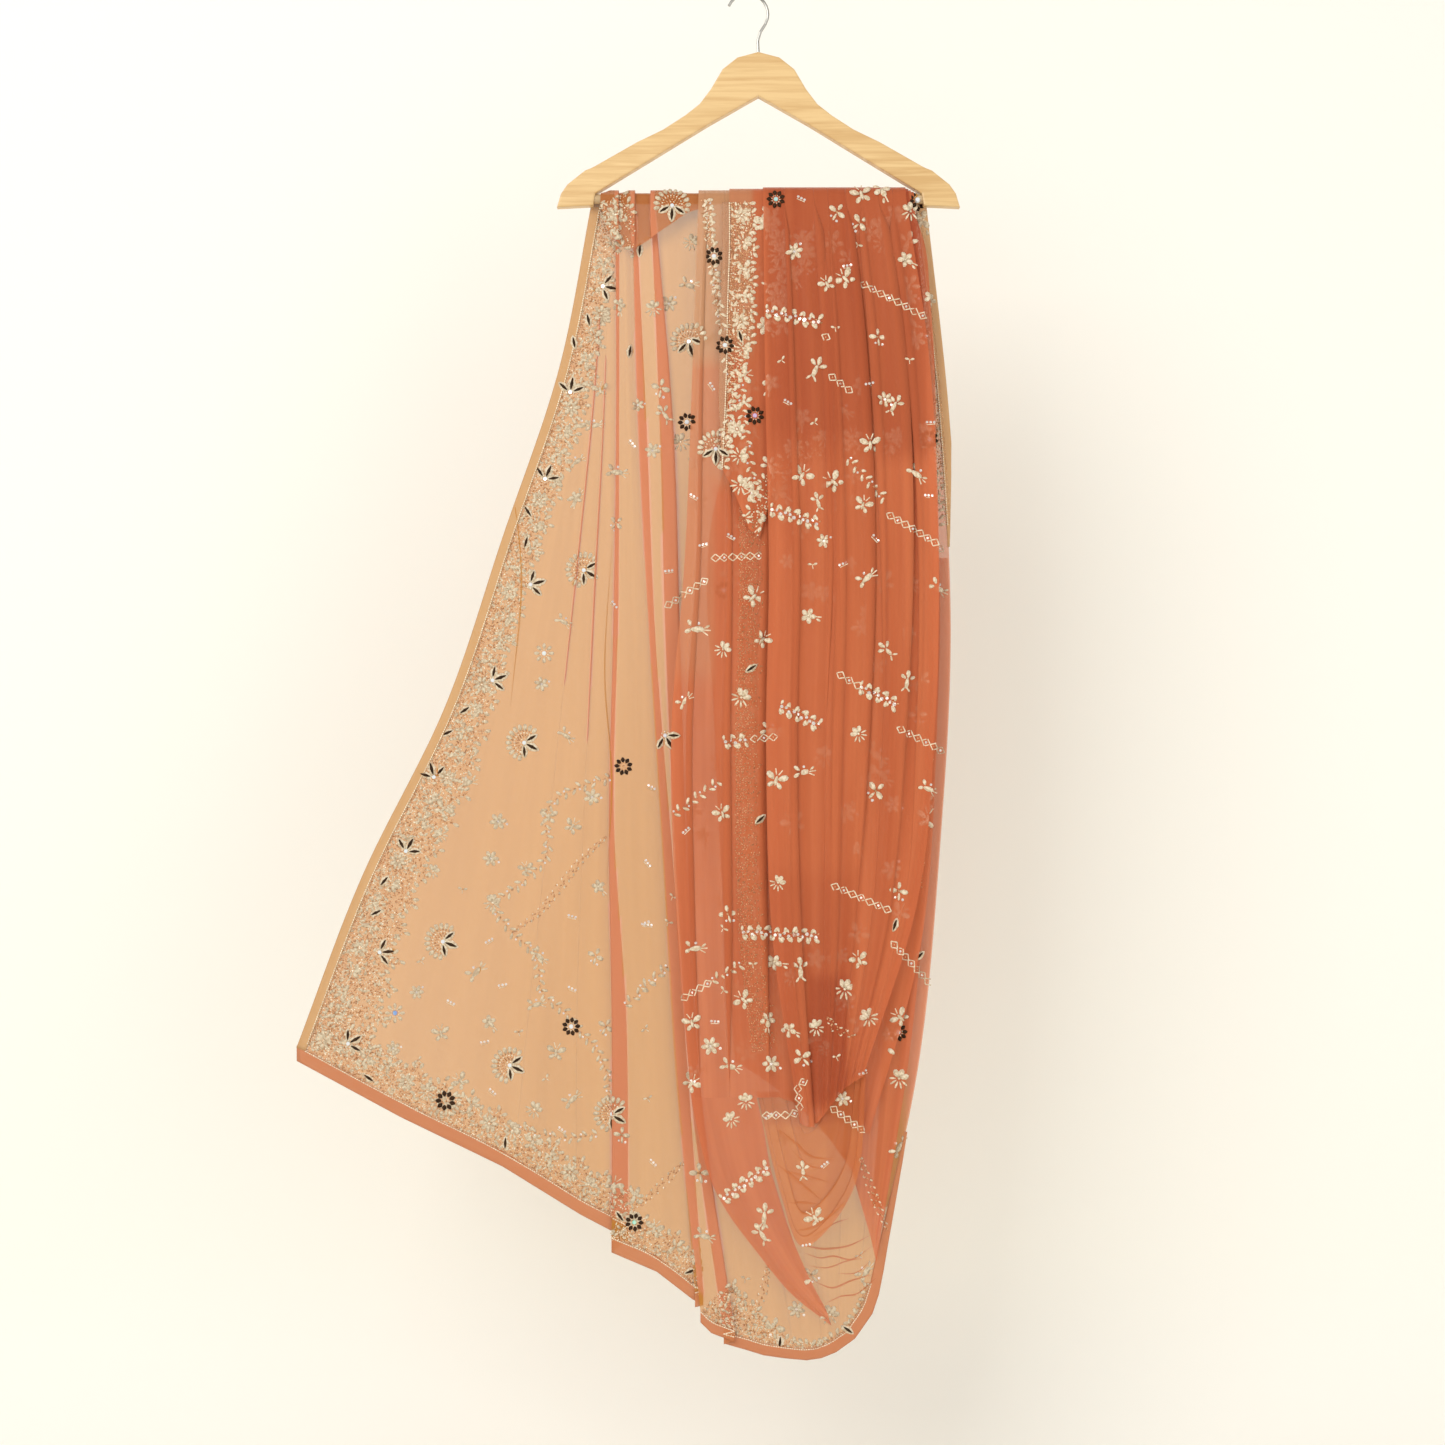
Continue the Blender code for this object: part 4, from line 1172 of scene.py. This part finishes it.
def bead_band(sheet, part, corners):
    """A ragged band of beads, widest in its middle."""
    stops = walk(corners, 2.9)
    for place, (across, down, ahead) in enumerate(stops):
        wide = 1.2 + 3.4 * math.sin(math.pi * (place + 0.5) / len(stops))
        kind = ("bead", "petal", "pearl")[place % 3]
        sprig = [(kind, 0, wide * math.sin(2.1 * place), 35, 3.6, 2.0),
                 ("bead", 0.8, -wide * math.cos(1.7 * place), -30, 2.8, 1.7)]
        sew(sheet, part, sprig, across, down, ahead)


def heavy_border(sheet, part, corners, widths, inward, seed, scallop=0.0, thin=0.35, plain=False):
    """Packs a border with beads and short stitches, from its edge line inwards to a scalloped side.
    Thin is the share left out at that side, and a plain border has small beads alone."""
    chance = random.Random(seed)
    stops = walk(corners, PACKED)
    for place, (across, down, ahead) in enumerate(stops):
        share = (place + 0.5) / len(stops)
        width = np.interp(share, [w[0] for w in widths], [w[1] for w in widths])
        scoop = abs(math.cos(math.pi * place * PACKED / SCALLOP))
        reach = width * (1 - scallop * scoop)
        turn = math.radians(ahead + inward)
        row = chance.uniform(1.0, 3.0)
        while row < reach:
            kind = chance.random()
            x = across + row * math.cos(turn) + chance.uniform(-0.9, 0.9)
            low = down - row * math.sin(turn) + chance.uniform(-0.9, 0.9)
            lie = ahead + inward * round(chance.random()) + chance.uniform(-35, 35)
            if plain:
                mark = ("bead", 0, 0, lie, 2.4, 1.3)
            elif kind < 0.60:
                mark = ("bead", 0, 0, lie, 3.0, 1.8)
            elif kind < 0.80:
                mark = ("pearl", 0, 0, lie, 2.5, 1.9)
            elif kind < 0.91:
                mark = ("stitch", 0, 0, lie, 3.8, 1.3)
            else:
                mark = ("petal", 0, 0, lie, 5.4, 3.0)
            if chance.random() > thin * row / reach:
                sew(sheet, part, [mark], x, low)
            row += chance.uniform(2.2, 3.2)
        if place % 3 == 0 and not plain:
            tip = (across + reach * math.cos(turn), down - reach * math.sin(turn))
            lie = ahead + inward + 38 * math.sin(2 * math.pi * place * PACKED / SCALLOP)
            sew(sheet, part, [("petal", 0, 0, lie + chance.uniform(-15, 15), 7.6, 4.0)], *tip)


def border_sprays(sheet, part, corners, offset, inward, spacing, size, seed):
    """Sets sprays and sprigs of pale petals along a border, leaning this way and that."""
    chance = random.Random(seed)
    for place, (across, down, ahead) in enumerate(walk(corners, spacing)):
        turn = math.radians(ahead + inward)
        out = offset * chance.uniform(0.7, 1.25)
        x, low = across + out * math.cos(turn), down - out * math.sin(turn)
        motif = (SPRAY, BUTIS[3], BUTIS[1], BUTIS[6])[place % 4]
        sew(sheet, part, motif, x, low, ahead + inward - 90 + chance.uniform(-30, 30), size)


def flat_line(points, step):
    """A line of points in metres as (across, down) corners in mm."""
    return [(1000 * x, 1000 * (BAR_Z - z)) for x, _, z in points[::step]]


# The heavy borders: packed beads and stitches between a beaded cord and a scalloped inner side, all
# down the turned end, along both hems, beside the flap, and down the front half's own end.
SCALLOP = 34.0
PACKED = 2.7
END_WIDTHS = (
    (0, 30), (0.2, 33), (0.3, 36), (0.56, 42), (0.66, 58), (0.84, 62), (0.95, 80), (1, 86),
)
HEM_WIDTHS = ((0, 78), (0.12, 52), (0.4, 44), (0.7, 40), (1, 36))
end_line = flat_line(end_edge, 7)
hem_line = flat_line(spread_hem, 6)
cowl_line = flat_line(under_hem, 4)
side_line = flat_line(side_edge, 8)
flap_line = flat_line(flap_edge, 6)
COWL_WIDTHS = ((0, 52), (0.30, 46), (0.50, 14), (0.6, 8), (1, 6))
SIDE_WIDTHS = ((0, 16), (0.8, 15), (1, 6))
FLAP_WIDTHS = ((0, 30), (0.5, 32), (0.62, 22), (0.74, 9), (1, 5))
for sheet, part, line, widths, inward, seed, scallop, *sprays in (
    ("net_spread", "end_border", end_line, END_WIDTHS, 90, 11, 0.22, 21.0, 90, 27.0, 1.1, 12),
    ("net_spread", "hem_border", hem_line, HEM_WIDTHS, 90, 13, 0.25, 26.0, 90, 26.0, 1.15, 14),
    ("net_under", "borders", cowl_line, COWL_WIDTHS, 90, 15, 0.2),
    ("net_under", "borders", side_line, SIDE_WIDTHS, -90, 16, 0.3),
    ("net_flap", "border", flap_line, FLAP_WIDTHS, 90, 17, 0.15, 17.0, 90, 30.0, 1.1, 18),
):
    heavy_border(sheet, part, line, widths, inward, seed, scallop)
    cord(sheet, part, line)
    if sprays:
        border_sprays(sheet, part, line, *sprays)

flap_hem = flat_line(fine_hem(FLAP_ROWS, FLAP_STAND), 6)
heavy_border("net_flap", "border", flap_hem[5:], ((0, 26), (1, 24)), 90, 19, 0.3, 0.8)
leafy_line("net_flap", "border", ((-8, 205), (-4, 250), (2, 290), (8, 335)), 7.0)
INNER_BORDER = ((-12, 262), (-10, 420), (-14, 600), (-13, 760), (-6, 860), (4, 940))
for sheet, part, *strip in (
    ("net_spread", "end_border", ((-152, 3), (-134, 34), (-104, 64)), ((0, 20), (1, 12)), 90, 22),
    ("net_spread", "end_border", ((-158, 3), (-139, 36), (-110, 66)), ((0, 8), (1, 8)), -90, 23),
    ("net_spread", "end_border", ((-100, 3), (-58, 3)), ((0, 10), (1, 6)), -90, 24, 0.4),
    ("net_inner", "border", INNER_BORDER, ((0, 36), (1, 36)), 90, 20, 0.25),
    ("net_mid", "border", ((-52, 3), (-48, 40), (-40, 100), (-30, 158)), ((0, 13), (1, 7)), 90, 28,
     0.2),
    ("net_flap", "border", flap_line, ((0, 27), (0.5, 29), (0.62, 19), (0.74, 8), (1, 4)), 90, 27,
     0.15, 0.5, True),
    ("net_mid", "border", INNER_BORDER, ((0, 30), (1, 32)), 90, 25, 0.25, 0.7, True),
    ("net_mid", "border", ((203, 330), (207, 480), (204, 620), (192, 760)), ((0, 18), (1, 18)), -90,
     26, 0.25, 0.7, True),
):
    heavy_border(sheet, part, *strip)
border_sprays("net_inner", "border", INNER_BORDER, 18.0, 90, 36.0, 1.0, 21)


# The field of the net carries scattered sprigs, dark flowers round a stone, fans of dark leaves,
# and short chains. Each place is where the motif lies across and down from the middle of the bar.
BUTI_PLACES = (
    (98, 17), (51, 61), (123, 29), (125, -2), (147, -9), (179, 16), (173, 70), (107, 92),
    (87, 98), (142, 156), (201, 111), (75, 189), (161, 229), (134, 274), (59, 308), (94, 315),
    (184, 306), (126, 340), (76, 335), (83, 379), (130, 420), (209, 430), (6, 440), (66, 461),
    (-8, 317), (-56, 475), (-27, 497), (16, 487), (151, 498), (-69, 554), (-7, 550), (174, 531),
    (121, 590), (61, 632), (31, 641), (140, 652), (197, 650), (-28, 678), (33, 753), (165, 762),
    (122, 838), (-58, 826), (29, 841), (57, 846), (-4, 883), (-61, 908), (22, 904), (45, 914),
    (132, 900), (168, 902), (75, 911), (-19, 956), (-62, 975), (59, 944), (-18, 1014), (167, 970),
    (60, 1067), (14, 1138), (150, 224), (-22, 788), (106, 869), (-41, 933), (26, 953),
    (-2, 994), (104, 990), (-53, 1075), (-48, 1145), (18, 1118), (74, 1120), (168, 1048),
    (70, 1189), (131, 1186), (54, 1227), (91, 1233), (30, 1247), (-311, 645), (-276, 687),
    (-194, 693), (-284, 728), (-245, 740), (-340, 702), (-337, 674), (-348, 742), (-282, 777),
    (-165, 759), (-231, 836), (-300, 854), (-366, 876), (-286, 909), (-234, 890), (-157, 914),
    (-212, 943), (-392, 938), (-339, 922), (-317, 975), (-194, 995), (-236, 1006), (-139, 1033),
    (-168, 836), (-220, 682), (-172, 660), (-163, 210), (-184, 249), (-189, 329), (-204, 466),
    (-228, 535), (-201, 592), (-62, 46), (-65, 94), (-142, 116), (-159, 131), (-104, 120),
    (-87, 114), (-190, 329), (-170, 249), (-189, 289), (-145, 301), (-145, 357), (-96, 208),
    (-121, 227), (-93, 236), (-105, 277), (-74, 267),
)
SEQUIN_PLACES = (
    (-315, 762), (-286, 819), (-361, 841), (-328, 887), (-271, 868), (-253, 920), (-364, 951),
    (-282, 986), (-223, 971), (-194, 792), (-110, 733), (-106, 649), (-113, 799), (-194, 872),
    (-113, 916), (-110, 993), (-104, 1064), (-205, 1028), (-291, 931), (-68, 696), (-82, 770),
    (-62, 971), (-127, 269), (-147, 447), (-87, 410), (-59, 329), (-49, 382), (-39, 208), (59, 2),
    (96, 146), (37, 181), (133, 207), (200, 249), (73, 249), (44, 227), (-18, 373), (71, 405),
    (104, 404), (177, 181), (121, 54), (109, 77), (198, 329), (140, 376), (-110, 801), (-87, 798),
    (6, 843), (-26, 804), (-36, 906), (-26, 872), (23, 1010), (97, 943), (126, 961), (84, 1061),
    (124, 1167), (64, 1149), (-2, 1193),
)
DARK_FLOWERS = (
    (31, 3, "aqua"), (-37, 65, "white"), (-25, 164, "white"), (-67, 245, "white"),
    (8, 241, "lilac"), (-137, 626, "none"), (-195, 914, "white"), (-125, 1130, "green"),
    (187, 2, "white"),
)
DIM_MOTIFS = 95
DIM_FLOWERS = ((199, 267), (166, 919), (-26, 432))
LEAF_FANS = (
    (-83, 9, 1, 178), (-160, 95, 0, -100), (-196, 212, 0, -10), (-224, 308, 0, -25),
    (-240, 425, 0, -75), (-282, 531, 0, -70), (-181, 409, 1, -120), (-247, 600, 1, -118),
    (-65, 156, 1, -165), (-35, 277, 1, 180), (-91, 592, 0, -150), (-347, 638, 0, 15),
    (-378, 720, 0, -30), (-407, 832, 0, -85), (-337, 820, 1, -110),
    (-442, 933, 0, -60), (-263, 957, 1, -115), (-150, 1011, 1, -120),
)
DARK_LEAVES = (
    (-176, 132), (-192, 157), (-243, 344), (-245, 378), (-313, 564), (-332, 589), (-402, 753),
    (-411, 788), (-419, 971), (-268, 1043), (-141, 1123), (-63, 1185), (36, 1263), (111, 1249),
    (-8, 154), (-130, 167), (-119, 56), (4, 518), (14, 684), (189, 835), (161, 799),
)
CHAINS = (
    ("bar", (19, 127), (80, 140)), ("diamonds", (123, 96), (196, 135)),
    ("diamonds", (80, 153), (91, 159)), ("diamonds", (88, 197), (115, 217)),
    ("leafy", (109, 288), (151, 335)), ("diamonds", (152, 349), (217, 388)),
    ("bar", (24, 344), (78, 360)), ("diamonds", (-91, 450), (-44, 420)),
    ("diamonds", (-40, 397), (17, 394)), ("bar", (35, 559), (79, 581)),
    ("diamonds", (97, 523), (125, 540)), ("bar", (122, 538), (163, 558)),
    ("diamonds", (163, 583), (218, 611)), ("bar", (-27, 599), (0, 597)),
    ("diamonds", (3, 596), (33, 593)), ("leafy", (-82, 679), (-30, 641)),
    ("diamonds", (91, 755), (157, 784)), ("diamonds", (157, 817), (203, 868)),
    ("bar", (-7, 808), (77, 811)), ("diamonds", (-73, 882), (-40, 862)),
    ("leafy", (-40, 862), (-6, 843)), ("leafy", (-119, 872), (-87, 847)),
    ("leafy", (-136, 891), (-87, 847)), ("diamonds", (16, 1010), (54, 1005), (55, 977), (65, 968)),
    ("diamonds", (91, 999), (128, 1026)), ("bar", (-28, 1102), (23, 1066)),
    ("beads", (123, 1054), (135, 1088), (155, 1139)),
    ("beads", (23, 1178), (16, 1213), (6, 1237)), ("beads", (-119, 1112), (-70, 1064)),
    ("beads", (87, 899), (97, 913), (118, 921)),
    ("leafy", (-150, 638), (-198, 654), (-223, 678), (-223, 726), (-264, 766), (-282, 777),
     (-260, 810), (-234, 836), (-227, 876), (-201, 898), (-190, 914), (-168, 938), (-154, 971),
     (-154, 1000)),
    ("beads", (-156, 704), (-183, 729), (-212, 766), (-231, 788), (-260, 810)),
    ("leafy", (-165, 1033), (-205, 1037), (-260, 1026)), ("leafy", (-44, 4), (-41, 50)),
    ("leafy", (-38, 78), (-30, 130), (-27, 150)),
    ("leafy", (-24, 176), (-16, 220), (-22, 250), (-34, 276)),
)
STITCHED = {"bar": sequin_bar, "diamonds": diamond_chain, "leafy": leafy_line, "beads": bead_band}

chance = random.Random(5)
for across, down in BUTI_PLACES:
    motif = BUTIS[chance.randrange(len(BUTIS))]
    turn, size = chance.uniform(-50, 50), chance.uniform(0.9, 1.2) * (1.1 if across > -60 else 1.0)
    sew("outermost", "motifs", motif, across, down, turn, size)
for across, down in SEQUIN_PLACES:
    motif = chance.choice((THREE_SEQUINS, SMALL_SPRIG))
    sew("outermost", "motifs", motif, across, down, chance.uniform(-50, 50))
for across, down, tint in DARK_FLOWERS:
    flower = DARK_FLOWER if tint != "none" else OPEN_FLOWER
    sew("outermost", "motifs", flower, across, down, chance.uniform(0, 40), 1.0, tint)
sew("net_spread", "motifs", OPEN_FLOWER + SEED_FAN, -334, 996, 10.0, 1.1)
for across, down in DIM_FLOWERS:
    sew(sheet_at(across, down, 1), "motifs", DARK_FLOWER, across, down, chance.uniform(0, 40), 1.0,
        "white")
for across, down, fan, turn in LEAF_FANS:
    motif = SEED_FAN + LEAF_TRIO if fan else LEAF_TRIO
    sew("outermost", "motifs", motif, across, down, turn, 1.28, "white")
for across, down in DARK_LEAVES:
    leaf = outlined(0, 0, 90, 11.5, 2.8)
    sew("outermost", "motifs", leaf, across, down, chance.uniform(-70, 70))
for across, down, tint in ((-390, 899, "blue"), (-225, 501, "white")):
    ring = petals("petal", 8, 8.0, 6.4, 3.8) + petals("pearl", 10, 4.4, 1.5, 1.5)
    sew("net_spread", "motifs", ring + [("stone", 0, 0, 0, 7.0, 7.0)], across, down, 0.0, 1.0, tint)
for form, *corners in CHAINS:
    STITCHED[form]("outermost", "motifs", corners)

# Motifs on the layer behind shine dimly through the outermost one.
for _ in range(DIM_MOTIFS):
    across, down = chance.uniform(-20, 200), 20 + 940 * chance.random() ** 1.3
    motif = BUTIS[chance.randrange(len(BUTIS))]
    turn, size = chance.uniform(-60, 60), chance.uniform(1.1, 1.5)
    sew(sheet_at(across, down, 1), "motifs", motif, across, down, turn, size)
border_sprays("net_flap", "border", ((36, 40), (34, 120), (40, 150)), 0.0, 90, 17.0, 1.5, 31)
border_sprays("net_flap", "border", ((150, 25), (150, 60)), 0.0, 90, 17.0, 1.4, 32)
border_sprays("net_flap", "border", flap_hem[3:], 20.0, 90, 28.0, 1.2, 33)

for sheet, left, right, top, bottom, count in (
    ("net_under", -60, 200, 60, 1150, 34), ("net_inner", 0, 180, 60, 980, 24),
    ("net_mid", -40, 190, 60, 960, 16), ("net_spread", -60, 60, 420, 1060, 12),
    ("net_turned", 150, 230, 60, 600, 6),
):
    for _ in range(count):
        across, down = chance.uniform(left, right), chance.uniform(top, bottom)
        if sheet_at(across, down) not in (sheet, None):
            motif = BUTIS[chance.randrange(len(BUTIS))]
            sew(sheet, "motifs", motif, across, down, chance.uniform(-40, 40))


# Everything sewn on one sheet is joined into one piece for its border and one for its motifs. Each
# kind of shape keeps its own thread, bead, foil or glass.
FLAT_SIDED = ("sequin", "stone", "stitch")
IN_SHADE = ("net_spread", "net_under", "net_turned")
for (sheet, part), kinds in SEWN.items():
    # On the sheets that hang back in shade, petals and stitches take the cream thread darkened with
    # painted shade.
    thread = cream_thread_painted_shade if sheet in IN_SHADE else cream_thread
    worked = {
        "petal": thread, "stitch": thread, "rim": cream_thread, "leaf": dark_thread,
        "bead": copper_bead, "pearl": pale_bead, "sequin": foil, "stone": stone_glass,
    }
    used = [kind for kind in worked if kind in kinds]
    points, faces, slots, tints, rounded, base = [], [], [], [], [], 0
    for slot, kind in enumerate(used):
        local, corners = SHAPES[kind]
        laid = np.array(kinds[kind])
        x, y, z, turn, length, width, thick, lean, fall = (laid[:, i:i + 1] for i in range(9))
        along, wide = local[:, 0] * length, local[:, 1] * width
        right = along * np.cos(turn) - wide * np.sin(turn)
        up = along * np.sin(turn) + wide * np.cos(turn)
        depth = y + lean * right + fall * up - local[:, 2] * thick
        placed = np.stack((x + right, depth, z + up), axis=2)
        starts = base + len(local) * np.arange(len(laid))
        points.append(placed.reshape(-1, 3))
        faces.append((corners[None] + starts[:, None, None]).reshape(-1, 3))
        slots.append(np.full(len(laid) * len(corners), slot))
        rounded.append(np.full(len(laid) * len(corners), kind not in FLAT_SIDED))
        tint = np.hstack((laid[:, 9:12], np.ones((len(laid), 1))))
        tints.append(np.repeat(tint, len(local), axis=0))
        base += len(laid) * len(local)
    points, faces = np.concatenate(points), np.concatenate(faces)
    mesh = bpy.data.meshes.new(f"{sheet}_{part}")
    mesh.vertices.add(len(points))
    mesh.vertices.foreach_set("co", points.ravel())
    mesh.loops.add(faces.size)
    mesh.loops.foreach_set("vertex_index", faces.ravel())
    mesh.polygons.add(len(faces))
    mesh.polygons.foreach_set("loop_start", np.arange(len(faces)) * 3)
    mesh.update(calc_edges=True)
    for kind in used:
        mesh.materials.append(worked[kind])
    mesh.polygons.foreach_set("material_index", np.concatenate(slots).astype(np.int32))
    mesh.polygons.foreach_set("use_smooth", np.concatenate(rounded))
    coloured = mesh.color_attributes.new("tint", "FLOAT_COLOR", "POINT")
    coloured.data.foreach_set("color", np.concatenate(tints).astype(np.float32).ravel())
    mesh.update()
    sewn = stand_in_scene(f"{sheet}_{part}", mesh)
    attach(sewn, "root")
    SHEETS[sheet]["with"].append(sewn)
